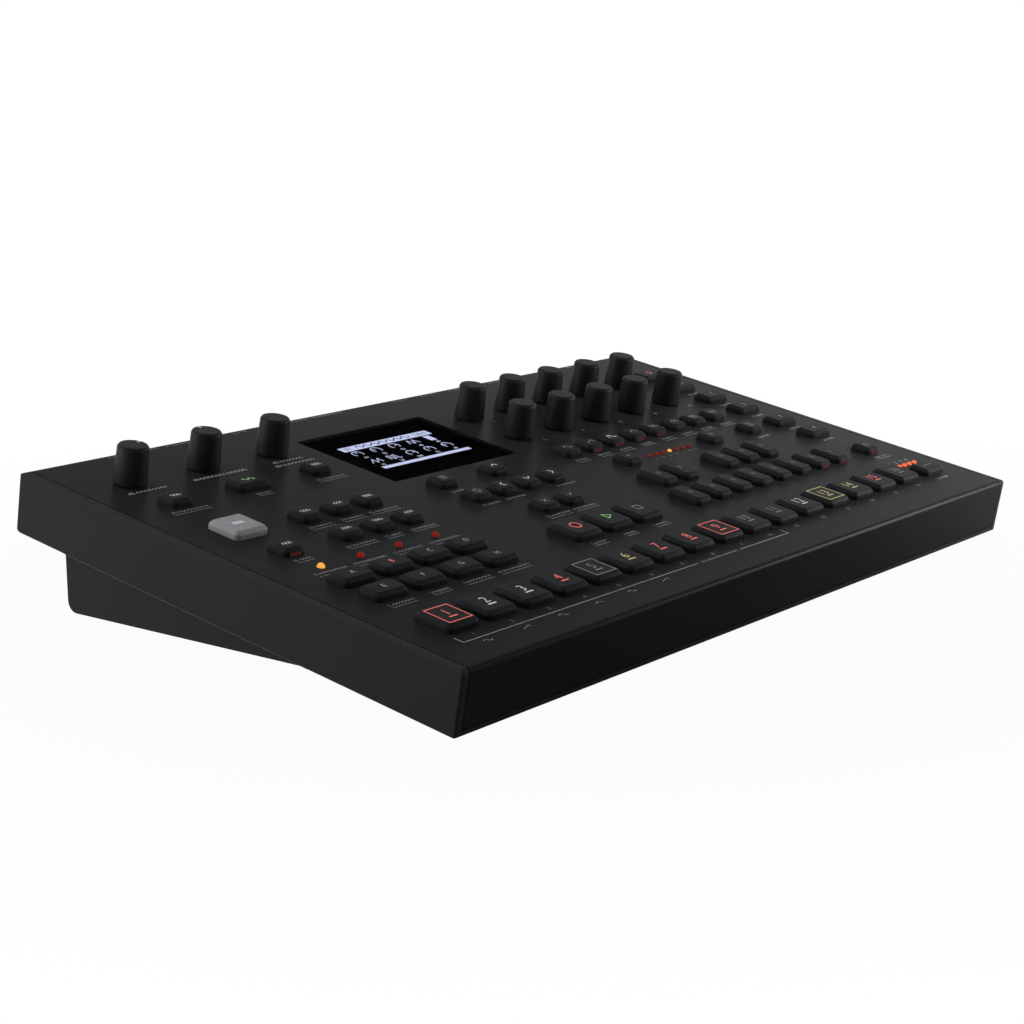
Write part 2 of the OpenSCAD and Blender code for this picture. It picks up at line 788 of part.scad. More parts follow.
// Header on each board with a flat ribbon between them
module board_link() {
    gap = panel_under_w - main_w;
    ribbon_w = link_w - 2 * ribbon_t;
    color("#8d8f92")
        on_slab()
            translate([body_w / 2, main_front_v + link_setback, main_w]) {
                for (w = [0, gap - link_h])
                    translate([-link_w / 2, -link_d / 2, w])
                        cube([link_w, link_d, link_h]);
                translate([-ribbon_w / 2, -ribbon_t / 2, link_h])
                    cube([ribbon_w, ribbon_t, gap - 2 * link_h]);
            }
}

module case_posts() {
    color("#b9bcc0")
        on_slab() {
            for (p = post_places)
                translate([p[0], p[1], 0])
                    difference() {
                        union() {
                            translate([0, 0, panel_w])
                                cylinder(h = panel_space, r = post_r);
                            translate([0, 0, floor_w])
                                cylinder(h = panel_w - floor_w + eps, r = pin_r);
                        }
                        translate([0, 0, floor_w - past])
                            cylinder(h = screw_l + 2 * past, r = screw_r + run_gap);
                    }
            for (p = stud_places)
                translate([p[0], p[1], panel_w])
                    difference() {
                        cylinder(h = panel_space, r = post_r);
                        translate([0, 0, -past])
                            cylinder(h = board_screw_reach + 1.5 * past, r = screw_r + run_gap);
                    }
            for (p = spacer_places)
                translate([p[0], p[1], floor_w])
                    cylinder(h = main_under_w - floor_w, r = post_r);
            for (p = leg_places)
                intersection() {
                    translate([p[0], p[1], -body_t - housing_h])
                        cylinder(h = housing_h + body_t + main_under_w, r = post_r);
                    across(p[0] - post_r, p[0] + post_r)
                        chassis_hollow();
                }
        }
}

module screw(shank) {
    translate([0, 0, -screw_head_h])
        cylinder(h = screw_head_h, r = screw_head_r);
    translate([0, 0, -eps])
        cylinder(h = shank + eps, r = screw_r);
}

module case_screws() {
    color("#55585c")
        on_slab() {
            for (p = post_places)
                translate([p[0], p[1], -body_t])
                    screw(screw_l);
            for (p = stud_places)
                translate([p[0], p[1], panel_under_w])
                    screw(pcb_t + board_screw_reach);
        }
}

module key_switches() {
    color("#3b3e42")
        on_slab()
            for (k = all_keys)
                translate([k[0], k[1], 0])
                    difference() {
                        translate([-switch_w / 2, -switch_w / 2, panel_w])
                            cube([switch_w, switch_w, switch_h]);
                        translate([0, 0, switch_bore_w])
                            cylinder(h = switch_h, r = stem_r + run_gap);
                    }
}

module encoder_bodies() {
    color("#70757a")
        on_slab()
            for (k = all_knobs)
                translate([k[0], k[1], panel_w])
                    difference() {
                        union() {
                            translate([-encoder_w / 2, -encoder_w / 2, 0])
                                cube([encoder_w, encoder_w, encoder_h]);
                            cylinder(h = knob_gap / 3 - panel_w, r = shaft_r + bush_wall);
                        }
                        translate([0, 0, past])
                            cylinder(h = -panel_w, r = shaft_r + run_gap);
                    }
}

module lamps() {
    color("#b0261f")
        on_slab()
            for (l = lamp_places)
                translate([l[0], l[1], panel_w]) {
                    cylinder(h = -panel_w, r = l[2]);
                    translate([0, 0, -panel_w])
                        sphere(l[2]);
                }
}

module audio_jacks() {
    color("#1f2022")
        on_slab()
            for (u = jack_places)
                difference() {
                    union() {
                        translate([u - jack_body_w / 2, wall_v - jack_body_l, main_w])
                            cube([jack_body_w, jack_body_l, jack_body_h]);
                        rearward(u, wall_v - eps, jack_w)
                            cylinder(h = jack_end_v - wall_v + eps, r = jack_bush_r);
                    }
                    rearward(u, jack_end_v - jack_depth, jack_w)
                        cylinder(h = jack_depth + past, r = jack_bore_r);
                }
}

module jack_nuts() {
    color("#c4c7ca")
        on_slab()
            for (u = jack_places)
                rearward(u, body_l, jack_w)
                    difference() {
                        cylinder(h = nut_t, r = jack_bush_r + nut_wall, $fn = 6);
                        translate([0, 0, -past])
                            cylinder(h = nut_t + 2 * past, r = jack_bush_r + run_gap);
                    }
}

// Round sockets: a body on the main board, a round face with a groove and five pin holes
module midi_sockets() {
    color("#17181a")
        on_slab()
            for (u = din_places)
                difference() {
                    union() {
                        translate([u - din_body_w / 2, wall_v - din_body_l, main_w])
                            cube([din_body_w, din_body_l, din_body_h]);
                        rearward(u, wall_v - eps, din_w)
                            cylinder(h = sheet_t + face_reach + eps, r = din_r);
                    }
                    rearward(u, body_l - din_depth + past, din_w)
                        difference() {
                            cylinder(h = din_depth + past, r = din_r - din_groove);
                            translate([0, 0, -past])
                                cylinder(h = din_depth + 3 * past, r = din_r - 2 * din_groove);
                        }
                    for (a = [-90, -45, 0, 45, 90])
                        rearward(u + din_pin_ring * sin(a), body_l - din_depth, din_w - din_pin_ring * cos(a))
                            cylinder(h = din_depth + 2 * past, r = din_pin_r);
                }
}

// Computer socket: a metal shell with an opening around a tongue
module usb_socket() {
    end_l = usb_l + sheet_t + face_reach;
    hole_w = usb_w - 2 * usb_wall;
    hole_h = usb_h - 2 * usb_wall;
    color("#b4b7ba")
        on_slab()
            translate([usb_u, wall_v - usb_l, main_w])
                difference() {
                    translate([-usb_w / 2, 0, 0])
                        cube([usb_w, end_l, usb_h]);
                    difference() {
                        translate([-hole_w / 2, end_l - usb_depth, usb_wall])
                            cube([hole_w, usb_depth + past, hole_h]);
                        translate([-usb_tongue_w / 2, end_l - usb_depth - past, (usb_h - usb_tongue_h) / 2])
                            cube([usb_tongue_w, usb_depth - past, usb_tongue_h]);
                    }
                }
}

// Power inlet with its pin, and the body of the power switch beside it
module power_inlet() {
    color("#1b1c1e")
        on_slab() {
            difference() {
                union() {
                    translate([inlet_u - inlet_body_w / 2, wall_v - power_body_l, main_w])
                        cube([inlet_body_w, power_body_l, inlet_body_h]);
                    rearward(inlet_u, wall_v - eps, inlet_w)
                        cylinder(h = sheet_t + face_reach + eps, r = inlet_r);
                }
                rearward(inlet_u, body_l - inlet_depth, inlet_w)
                    difference() {
                        cylinder(h = inlet_depth + 2 * past, r = inlet_hole_r);
                        translate([0, 0, -past])
                            cylinder(h = inlet_depth, r = inlet_pin_r);
                    }
            }
            difference() {
                translate([power_u - power_body_w / 2, wall_v - power_body_l, main_w])
                    cube([power_body_w, power_body_l, inlet_body_h]);
                rearward(power_u, wall_v - power_body_l + power_end_wall, inlet_w)
                    cylinder(h = power_body_l, r = power_r + run_gap);
            }
        }
}

module power_button() {
    start_v = wall_v - power_body_l + power_end_wall + power_travel + power_end_gap;
    color("#2a2b2d")
        on_slab()
            rearward(power_u, start_v, inlet_w)
                cylinder(h = body_l + power_reach - start_v, r = power_r);
}

// One key: a cap with sloped edges, lips under the panel at the front and the rear,
// and a stem down into its switch
module key(k) {
    a = k[2];
    b = k[3];
    wall_h = key_h - key_slope;
    translate([k[0], k[1], 0]) {
        intersection() {
            translate([0, 0, lip_bottom_w])
                linear_extrude(height = key_h - lip_bottom_w)
                    round_rect(a, b, key_r);
            translate([0, b, 0])
                rotate([90, 0, 0])
                    linear_extrude(height = 2 * b)
                        key_slopes(a, wall_h);
            translate([-a, 0, 0])
                rotate([90, 0, 90])
                    linear_extrude(height = 2 * a)
                        key_slopes(b, wall_h);
        }
        translate([0, 0, lip_bottom_w])
            linear_extrude(height = lip_t)
                round_rect(a, b + 2 * lip_w, key_r);
        translate([0, 0, stem_end_w])
            cylinder(h = lip_bottom_w - stem_end_w + eps, r = stem_r);
    }
}

module key_slopes(span, wall_h) {
    polygon([
        [-span / 2 - eps, lip_bottom_w - past],
        [span / 2 + eps, lip_bottom_w - past],
        [span / 2 + eps, wall_h],
        [span / 2 - key_slope, key_h],
        [-span / 2 + key_slope, key_h],
        [-span / 2 - eps, wall_h]
    ]);
}

module keys(list) {
    color("#303134")
        on_slab()
            for (k = list)
                key(k);
}

module key_function() {
    color("#a5a7aa")
        on_slab()
            key(function_key);
}

// One knob: a tapered cap on a round shaft that turns in its encoder's bush
module knob(k) {
    shaft_w = panel_w + 1.5 * past;
    color("#28292b")
        on_slab()
            translate([k[0], k[1], 0]) {
                rotate_extrude()
                    polygon([
                        [0, knob_gap], [knob_r, knob_gap], [knob_top_r, knob_h - knob_edge],
                        [knob_top_r - knob_edge, knob_h], [0, knob_h]
                    ]);
                translate([0, 0, shaft_w])
                    cylinder(h = knob_gap - shaft_w + eps, r = shaft_r);
            }
}

top_cover();
base_chassis();
rubber_feet();
display_window();
display_module();
panel_board();
main_board();
board_link();
case_posts();
case_screws();
key_switches();
encoder_bodies();
lamps();
audio_jacks();
jack_nuts();
midi_sockets();
usb_socket();
power_inlet();
power_button();
knob(left_knobs[0]);  // knob_volume
knob(left_knobs[1]);  // knob_performance
knob(left_knobs[2]);  // knob_level
knob(data_knobs[0]);  // knob_data_1
knob(data_knobs[1]);  // knob_data_2
knob(data_knobs[2]);  // knob_data_3
knob(data_knobs[3]);  // knob_data_4
knob(data_knobs[4]);  // knob_data_5
knob(data_knobs[5]);  // knob_data_6
knob(data_knobs[6]);  // knob_data_7
knob(data_knobs[7]);  // knob_data_8
knob(data_knobs[8]);  // knob_data_9
knob(data_knobs[9]);  // knob_data_10
keys([step_keys[0]]);  // key_step_01
keys([step_keys[1]]);  // key_step_02
keys([step_keys[2]]);  // key_step_03
keys([step_keys[3]]);  // key_step_04
keys([step_keys[4]]);  // key_step_05
keys([step_keys[5]]);  // key_step_06
keys([step_keys[6]]);  // key_step_07
keys([step_keys[7]]);  // key_step_08
keys([step_keys[8]]);  // key_step_09
keys([step_keys[9]]);  // key_step_10
keys([step_keys[10]]);  // key_step_11
keys([step_keys[11]]);  // key_step_12
keys([step_keys[12]]);  // key_step_13
keys([step_keys[13]]);  // key_step_14
keys([step_keys[14]]);  // key_step_15
keys([step_keys[15]]);  // key_step_16
keys([transport_keys[0]]);  // key_record
keys([transport_keys[1]]);  // key_play
keys([transport_keys[2]]);  // key_stop
key_function();
keys(bank_keys);  // keys_bank
keys(natural_keys);  // keys_naturals
keys(sharp_keys);  // keys_sharps
keys(arrow_keys);  // keys_arrows
keys(param_keys);  // keys_parameters
keys(track_keys);  // keys_tracks
keys(left_keys);  // keys_left
keys(right_keys);  // keys_right
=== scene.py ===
import bpy
import json
import math
import numpy as np
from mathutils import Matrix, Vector


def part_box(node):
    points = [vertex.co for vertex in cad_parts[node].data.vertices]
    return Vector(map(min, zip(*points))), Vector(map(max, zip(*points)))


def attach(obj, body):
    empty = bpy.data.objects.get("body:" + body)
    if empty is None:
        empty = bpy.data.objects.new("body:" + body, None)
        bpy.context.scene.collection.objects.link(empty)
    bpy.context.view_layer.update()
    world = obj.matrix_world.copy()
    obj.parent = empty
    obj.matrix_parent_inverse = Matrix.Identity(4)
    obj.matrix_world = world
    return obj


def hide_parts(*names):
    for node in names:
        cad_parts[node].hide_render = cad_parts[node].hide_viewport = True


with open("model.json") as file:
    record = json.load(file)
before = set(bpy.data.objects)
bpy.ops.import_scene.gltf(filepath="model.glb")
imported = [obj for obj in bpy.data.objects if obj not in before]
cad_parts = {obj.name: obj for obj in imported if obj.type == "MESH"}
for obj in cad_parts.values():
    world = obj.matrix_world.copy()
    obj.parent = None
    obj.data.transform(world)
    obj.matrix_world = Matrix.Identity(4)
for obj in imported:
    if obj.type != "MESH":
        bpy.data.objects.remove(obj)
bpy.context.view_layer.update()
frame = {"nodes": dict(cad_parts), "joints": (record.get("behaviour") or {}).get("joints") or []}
nodes = frame["nodes"]
scene = bpy.context.scene

# Camera at the photograph's angle
camera = {
    "place": (-0.70452, -0.54259, 0.22385),
    "turn": (77.741, 0.2458, -52.0911),   # degrees
    "lens": 76.439,
    "sensor": 36.0,
    "shift": -0.02698,
    "clip": 0.01,
}
cameraData = bpy.data.cameras.new("camera")
cameraData.lens = camera["lens"]
cameraData.sensor_width = camera["sensor"]
cameraData.shift_x = camera["shift"]
cameraData.clip_start = camera["clip"]
cameraObject = bpy.data.objects.new("camera", cameraData)
cameraObject.location = camera["place"]
cameraObject.rotation_euler = [math.radians(a) for a in camera["turn"]]
scene.collection.objects.link(cameraObject)
scene.camera = cameraObject
print("camera set")

# The sloping panel: u runs right, v to the rear and w up along its normal, in millimetres
panel = {"windowU": 161.92, "windowV": 167.8, "sheet": 1.5}
pressAxis = next(j["axis"] for j in frame["joints"] if j["name"] == "key_step_01_press")
tilt = math.atan2(pressAxis[1], -pressAxis[2])
slabTurn = np.array([
    [1.0, 0.0, 0.0],
    [0.0, math.cos(tilt), -math.sin(tilt)],
    [0.0, math.sin(tilt), math.cos(tilt)],
])
windowMiddle = np.array(sum(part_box("display_window"), Vector())) * 500
slabCorner = windowMiddle - slabTurn @ (panel["windowU"], panel["windowV"], -panel["sheet"] / 2)


def onSlab(points):
    # Panel millimetres turned by the tilt about the front edge, moved to the front left corner, in metres
    return (points @ slabTurn.T + slabCorner) / 1000


# Meshes: a part is its points, the corners of its faces in one row, and the number of corners of each face

def gridFaces(rows, columns, loop=False):
    # Cell (i, j) joins grid points i, i+1 and j, j+1; columns always wrap, rows wrap when the path is a loop
    i = np.arange(rows if loop else rows - 1)[:, None]
    j = np.arange(columns)[None, :]
    up = (i + 1) % rows
    on = (j + 1) % columns
    cells = [i * columns + j, i * columns + on, up * columns + on, up * columns + j]
    return np.stack(cells, -1).reshape(-1, 4)


def shell(rings, loop=False):
    # Rings stacked from first to last, closed by a flat face at each end unless the stack runs into itself
    rows, columns = rings.shape[:2]
    quads = gridFaces(rows, columns, loop)
    corners = [quads.ravel()]
    counts = [np.full(len(quads), 4)]
    if not loop:
        corners += [np.arange(columns)[::-1], np.arange(columns) + (rows - 1) * columns]
        counts += [[columns], [columns]]
    return rings.reshape(-1, 3), np.concatenate(corners), np.concatenate(counts)


def joinParts(parts):
    # Parts set one after another, each with its corner numbers moved past the points before it
    starts = np.cumsum([0] + [len(p[0]) for p in parts])
    points = np.concatenate([p[0] for p in parts])
    corners = np.concatenate([p[1] + s for p, s in zip(parts, starts)])
    return points, corners, np.concatenate([p[2] for p in parts])


def addPiece(name, parts, body, finish, replaced=(), sharp=32):
    # One mesh from all parts, placed on the panel, smooth up to the sharp angle, riding on its body
    points, corners, counts = joinParts(parts)
    mesh = bpy.data.meshes.new(name)
    mesh.vertices.add(len(points))
    mesh.vertices.foreach_set("co", onSlab(points).ravel())
    mesh.loops.add(len(corners))
    mesh.loops.foreach_set("vertex_index", corners)
    mesh.polygons.add(len(counts))
    mesh.polygons.foreach_set("loop_start", np.concatenate([[0], np.cumsum(counts)[:-1]]))
    mesh.update(calc_edges=True)
    mesh.validate()
    mesh.shade_smooth()
    mesh.set_sharp_from_angle(angle=math.radians(sharp))
    mesh.materials.append(finish)
    piece = bpy.data.objects.new(name, mesh)
    scene.collection.objects.link(piece)
    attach(piece, body)
    if replaced:
        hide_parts(*replaced)
    return piece


def roundedLine(corners, reach, steps=5):
    # A broken line with each inner corner p turned into the curve (1-t)^2 a + 2t(1-t) p + t^2 b,
    # where a and b lie at the reach before and after the corner
    line = np.array(corners, float)
    before = line[:-2] - line[1:-1]
    after = line[2:] - line[1:-1]
    r = np.broadcast_to(reach, len(line) - 2)[:, None]
    a = line[1:-1] + before / np.linalg.norm(before, axis=1, keepdims=True) * r
    b = line[1:-1] + after / np.linalg.norm(after, axis=1, keepdims=True) * r
    t = np.linspace(0, 1, steps)[None, :, None]
    bends = (1 - t) ** 2 * a[:, None] + 2 * t * (1 - t) * line[1:-1, None] + t ** 2 * b[:, None]
    return np.concatenate([line[:1], bends.reshape(-1, 2), line[-1:]])


def roundedBlock(place, profile, corner, least=0.5, steps=7):
    # Rounded rectangles stacked along a profile of inset and height: at each step the sides move in by
    # the inset and the corner arcs shrink with them
    u, v, width, depth = place
    inset = profile[:, :1]
    turn = (np.arange(4)[:, None] * math.pi / 2 + np.linspace(0, math.pi / 2, steps)).ravel()
    sideU = np.repeat([1, -1, -1, 1], steps)
    sideV = np.repeat([1, 1, -1, -1], steps)
    r = np.maximum(corner - inset, least)
    ringU = u + sideU * (width / 2 - inset - r) + r * np.cos(turn)
    ringV = v + sideV * (depth / 2 - inset - r) + r * np.sin(turn)
    ringW = np.broadcast_to(profile[:, 1:], ringU.shape)
    return shell(np.stack([ringU, ringV, ringW], -1))


def turned(place, profile, sides=64, start=0.0):
    # Radius and height of a profile carried once round the upright line through the place
    turn = np.arange(sides) / sides * 2 * math.pi + start
    ringU = place[0] + profile[:, :1] * np.cos(turn)
    ringV = place[1] + profile[:, :1] * np.sin(turn)
    ringW = np.broadcast_to(profile[:, 1:], ringU.shape)
    return shell(np.stack([ringU, ringV, ringW], -1))


def line(path, width, low, high, loop=False, mitre=0.4):
    # A flat strip: a box section carried along a path, its sides at half the width on the mitred normals,
    # which grow as one over the cosine of half the bend, down to the least cosine given as the mitre
    path = np.array(path, float)
    step = np.roll(path, -1, 0) - path
    if not loop:
        step[-1] = step[-2]
    step /= np.linalg.norm(step, axis=1, keepdims=True)
    last = np.roll(step, 1, 0)
    if not loop:
        last[0] = step[0]
    normal = np.stack([-step[:, 1], step[:, 0]], 1)
    bisect = normal + np.stack([-last[:, 1], last[:, 0]], 1)
    bisect /= np.linalg.norm(bisect, axis=1, keepdims=True)
    bisect /= np.maximum((bisect * normal).sum(1, keepdims=True), mitre)
    side = np.array([-1, 1, 1, -1]) * width / 2
    flat = path[:, None, :] + bisect[:, None, :] * side[None, :, None]
    height = np.broadcast_to([low, low, high, high], flat.shape[:2])
    return shell(np.concatenate([flat, height[..., None]], -1), loop)


# Printed and lit marks lie on a surface at a level: a little sunk into it and a hair above it
marks = {"sunk": 0.06, "proud": 0.03}


def stroke(path, width, level, loop=False):
    # A flat strip from a little below its level to a hair above it
    return line(path, width, level - marks["sunk"], level + marks["proud"], loop)


def disc(place, radius, level, sides=28, start=0.0):
    # A flat regular shape: two equal rings of corners, one below and one above the level
    rise = np.array([[radius, level - marks["sunk"]], [radius, level + marks["proud"]]])
    return turned(place, rise, sides, start)


def outline(place, radius, width, level, sides=36, start=0.0):
    # The corners of a regular shape on a circle, joined by a strip that runs into itself
    turn = np.arange(sides) / sides * 2 * math.pi + start
    return stroke(np.array(place) + radius * np.stack([np.cos(turn), np.sin(turn)], 1), width, level, True)


def arc(place, radius, width, level, first, last):
    # Points on a circle from the first angle to the last, in degrees, as a strip
    turn = np.radians(np.linspace(first, last, 15))
    return stroke(np.array(place) + radius * np.stack([np.cos(turn), np.sin(turn)], 1), width, level)


def square(place, size, width, level):
    # Four corners on a circle of radius size / sqrt 2, the first at an eighth of a turn
    return outline(place, size / math.sqrt(2), width, level, 4, math.pi / 4)


waveShapes = {
    "sine": [(i / 12, math.sin(i * math.pi / 6)) for i in range(12)],
    "saw": [(0, -1), (0.92, 1)],
    "square": [(0, -1), (0.08, 1), (0.5, 1), (0.58, -1)],
    "triangle": [(0, -1), (0.5, 1)],
}


def wave(kind, left, right, v, rise, turns, width, level):
    # The corners of one period repeated along a row from its left end to its right end
    period = np.array(waveShapes[kind], float)
    path = (period + np.array([1, 0]) * np.arange(turns)[:, None, None]).reshape(-1, 2)
    path = np.concatenate([path, [[turns, period[0, 1]]]])
    return stroke(np.array([left, v]) + path * np.array([(right - left) / turns, rise]), width, level)


face = {"extrude": 0.5, "offset": -0.012, "steps": 3, "cap": 0.68}   # light figures, 0.68 of their size high
numeralCache = {}


def numerals(text, place, capHeight, level):
    # Plain figures in the built-in face, made a mesh, scaled to their cap height and set at their middle
    if text not in numeralCache:
        curve = bpy.data.curves.new("figures", "FONT")
        curve.body = text
        curve.extrude = face["extrude"]
        curve.offset = face["offset"]
        curve.resolution_u = face["steps"]
        curve.align_x = "CENTER"
        holder = bpy.data.objects.new("figures", curve)
        scene.collection.objects.link(holder)
        made = bpy.data.meshes.new_from_object(holder.evaluated_get(bpy.context.evaluated_depsgraph_get()))
        points = np.zeros(len(made.vertices) * 3)
        corners = np.zeros(len(made.loops), int)
        counts = np.zeros(len(made.polygons), int)
        made.vertices.foreach_get("co", points)
        made.loops.foreach_get("vertex_index", corners)
        made.polygons.foreach_get("loop_total", counts)
        numeralCache[text] = points.reshape(-1, 3), corners, counts
        bpy.data.objects.remove(holder)
        bpy.data.curves.remove(curve)
        bpy.data.meshes.remove(made)
    points, corners, counts = numeralCache[text]
    middle = (points.max(0) + points.min(0)) / 2
    size = capHeight / face["cap"]
    flat = (points[:, :2] - middle[:2]) * size + np.array(place[:2])
    height = level - marks["sunk"] + (points[:, 2:] + face["extrude"]) * (marks["sunk"] + marks["proud"])
    return np.concatenate([flat, height], 1), corners, counts


# Materials, all from Object coordinates

def startMaterial(name):
    # An empty finish with its shader and the Object coordinates
    material = bpy.data.materials.new(name)
    material.use_nodes = True
    tree = material.node_tree
    shader = tree.nodes["Principled BSDF"]
    place = tree.nodes.new("ShaderNodeTexCoord")
    return material, tree, shader, place.outputs["Object"]


def addNoise(tree, place, scale, detail=3.0, rough=0.55, stretch=None):
    # Noise over Object coordinates, stretched along an axis where a stretch is given
    if stretch:
        mapping = tree.nodes.new("ShaderNodeMapping")
        mapping.inputs["Scale"].default_value = stretch
        tree.links.new(place, mapping.inputs["Vector"])
        place = mapping.outputs["Vector"]
    noise = tree.nodes.new("ShaderNodeTexNoise")
    noise.inputs["Scale"].default_value = scale
    noise.inputs["Detail"].default_value = detail
    noise.inputs["Roughness"].default_value = rough
    tree.links.new(place, noise.inputs["Vector"])
    return noise.outputs["Fac"]


def addRamp(tree, value, stops):
    # Colours along a value from 0 to 1
    ramp = tree.nodes.new("ShaderNodeValToRGB")
    elements = ramp.color_ramp.elements
    while len(elements) < len(stops):
        elements.new(0.5)
    for element, (at, colour) in zip(elements, stops):
        element.position = at
        element.color = (*colour, 1.0)
    tree.links.new(value, ramp.inputs["Fac"])
    return ramp.outputs["Color"]


def addSpread(tree, value, first, last):
    # A value carried in a straight line from the first pair of input and output to the last
    spread = tree.nodes.new("ShaderNodeMapRange")
    for socket, at in zip(("From Min", "To Min", "From Max", "To Max"), (*first, *last)):
        spread.inputs[socket].default_value = at
    tree.links.new(value, spread.inputs["Value"])
    return spread.outputs["Result"]


def addRange(tree, value, low, high):
    # A noise value, mostly between 0.3 and 0.7, spread from low to high
    return addSpread(tree, value, (0.3, low), (0.7, high))


def addMath(tree, operation, first, second):
    # Two values joined by one operation
    join = tree.nodes.new("ShaderNodeMath")
    join.operation = operation
    tree.links.new(first, join.inputs[0])
    tree.links.new(second, join.inputs[1])
    return join.outputs["Value"]


def addBump(tree, shader, value, strength, distance):
    # A value read as a height, tilting the surface
    bump = tree.nodes.new("ShaderNodeBump")
    bump.inputs["Strength"].default_value = strength
    bump.inputs["Distance"].default_value = distance
    tree.links.new(value, bump.inputs["Height"])
    tree.links.new(bump.outputs["Normal"], shader.inputs["Normal"])


def grainFinish(name, look):
    # A coat or moulding: two shades mixed by a broad noise, gloss varied by it, and a fine grain in the bump
    material, tree, shader, place = startMaterial(name)
    broad = addNoise(tree, place, look["patch"], 4.0)
    fine = addNoise(tree, place, look["grain"], 2.0)
    colour = addRamp(tree, broad, [(0.3, look["dark"]), (0.7, look["light"])])
    tree.links.new(colour, shader.inputs["Base Color"])
    tree.links.new(addRange(tree, fine, *look["rough"]), shader.inputs["Roughness"])
    addBump(tree, shader, fine, look["bump"], look.get("depth", 0.00005))
    shader.inputs["Metallic"].default_value = look.get("metal", 0.0)
    shader.inputs["Specular IOR Level"].default_value = look.get("gloss", 0.5)
    return material


glowBase = {"grain": 900.0, "least": 0.86, "dull": 0.08, "rough": 0.5, "gloss": 0.04}


def glowFinish(name, colour, strength):
    # A lit mark or lamp: its own dull colour under a light that varies a little over the surface
    material, tree, shader, place = startMaterial(name)
    uneven = addNoise(tree, place, glowBase["grain"], 2.0)
    shade = addRamp(tree, uneven, [
        (0.25, tuple(c * glowBase["least"] for c in colour)),
        (0.75, colour),
    ])
    shader.inputs["Base Color"].default_value = (*[c * glowBase["dull"] for c in colour], 1.0)
    tree.links.new(shade, shader.inputs["Emission Color"])
    shader.inputs["Emission Strength"].default_value = strength
    shader.inputs["Roughness"].default_value = glowBase["rough"]
    shader.inputs["Specular IOR Level"].default_value = glowBase["gloss"]
    return material


finishLooks = {
    "cover": {"dark": (0.0151, 0.0156, 0.017), "light": (0.0178, 0.0184, 0.0199), "patch": 14.0,
              "grain": 2600.0, "rough": (0.28, 0.36), "bump": 0.15, "gloss": 0.015},
    "chassis": {"dark": (0.0258, 0.0261, 0.0268), "light": (0.0292, 0.0295, 0.0303), "patch": 18.0,
                "grain": 2400.0, "rough": (0.46, 0.6), "bump": 0.15, "gloss": 0.02},
    # edge: the light grey of a painted highlight on the side walls' lower edges
    "edge": {"dark": (0.13, 0.13, 0.134), "light": (0.19, 0.19, 0.194), "patch": 120.0,
             "grain": 2400.0, "rough": (0.36, 0.5), "bump": 0.1, "gloss": 0.2},
    "key": {"dark": (0.0182, 0.0188, 0.0203), "light": (0.0224, 0.0231, 0.025), "patch": 160.0,
            "grain": 4200.0, "rough": (0.34, 0.44), "bump": 0.12, "gloss": 0.012},
    "keyLight": {"dark": (0.235, 0.235, 0.244), "light": (0.275, 0.275, 0.285), "patch": 160.0,
                 "grain": 4200.0, "rough": (0.42, 0.54), "bump": 0.12, "gloss": 0.06},
    "knob": {"dark": (0.0098, 0.0101, 0.011), "light": (0.0126, 0.013, 0.0141), "patch": 220.0,
             "grain": 3600.0, "rough": (0.42, 0.54), "bump": 0.14, "gloss": 0.08},
    "feet": {"dark": (0.008, 0.008, 0.0082), "light": (0.014, 0.014, 0.0145), "patch": 140.0,
             "grain": 1800.0, "rough": (0.7, 0.85), "bump": 0.4, "gloss": 0.15},
    "plastic": {"dark": (0.0085, 0.0087, 0.009), "light": (0.0125, 0.0128, 0.0135), "patch": 150.0,
                "grain": 2600.0, "rough": (0.36, 0.5), "bump": 0.14, "gloss": 0.3},
    "display": {"dark": (0.0016, 0.0017, 0.002), "light": (0.0026, 0.0027, 0.003), "patch": 60.0,
                "grain": 1500.0, "rough": (0.3, 0.4), "bump": 0.05, "gloss": 0.0},
    "nickel": {"dark": (0.5, 0.49, 0.47), "light": (0.62, 0.61, 0.58), "patch": 300.0,
               "grain": 3000.0, "rough": (0.22, 0.34), "bump": 0.1, "metal": 1.0},
    "steel": {"dark": (0.33, 0.33, 0.34), "light": (0.45, 0.45, 0.46), "patch": 240.0,
              "grain": 2400.0, "rough": (0.28, 0.42), "bump": 0.14, "metal": 1.0},
    "ink": {"dark": (0.36, 0.365, 0.37), "light": (0.46, 0.465, 0.47), "patch": 300.0,
            "grain": 3000.0, "rough": (0.5, 0.62), "bump": 0.05, "gloss": 0.2},
    "inkDim": {"dark": (0.2, 0.203, 0.208), "light": (0.27, 0.274, 0.28), "patch": 300.0,
               "grain": 3000.0, "rough": (0.5, 0.62), "bump": 0.05, "gloss": 0.2},
}
finishes = {name: grainFinish(name, look) for name, look in finishLooks.items()}

glowLooks = {
    "glowRed": ((1.0, 0.2, 0.17), 0.8),
    "glowDeepRed": ((0.6, 0.034, 0.02), 0.3),
    "glowLeak": ((0.5, 0.13, 0.11), 0.07),
    "glowOrange": ((1.0, 0.19, 0.08), 0.95),
    "glowAmber": ((1.0, 0.46, 0.08), 1.0),
    "glowYellow": ((0.9, 0.76, 0.34), 0.55),
    "glowGreen": ((0.4, 0.85, 0.34), 0.52),
    "glowWhite": ((0.86, 0.9, 0.95), 0.6),
    "glowPale": ((0.7, 0.73, 0.78), 0.4),
    "glowGrey": ((0.42, 0.44, 0.46), 0.36),
    "glowScreen": ((0.66, 0.72, 1.0), 0.9),
}
finishes |= {name: glowFinish(name, *look) for name, look in glowLooks.items()}


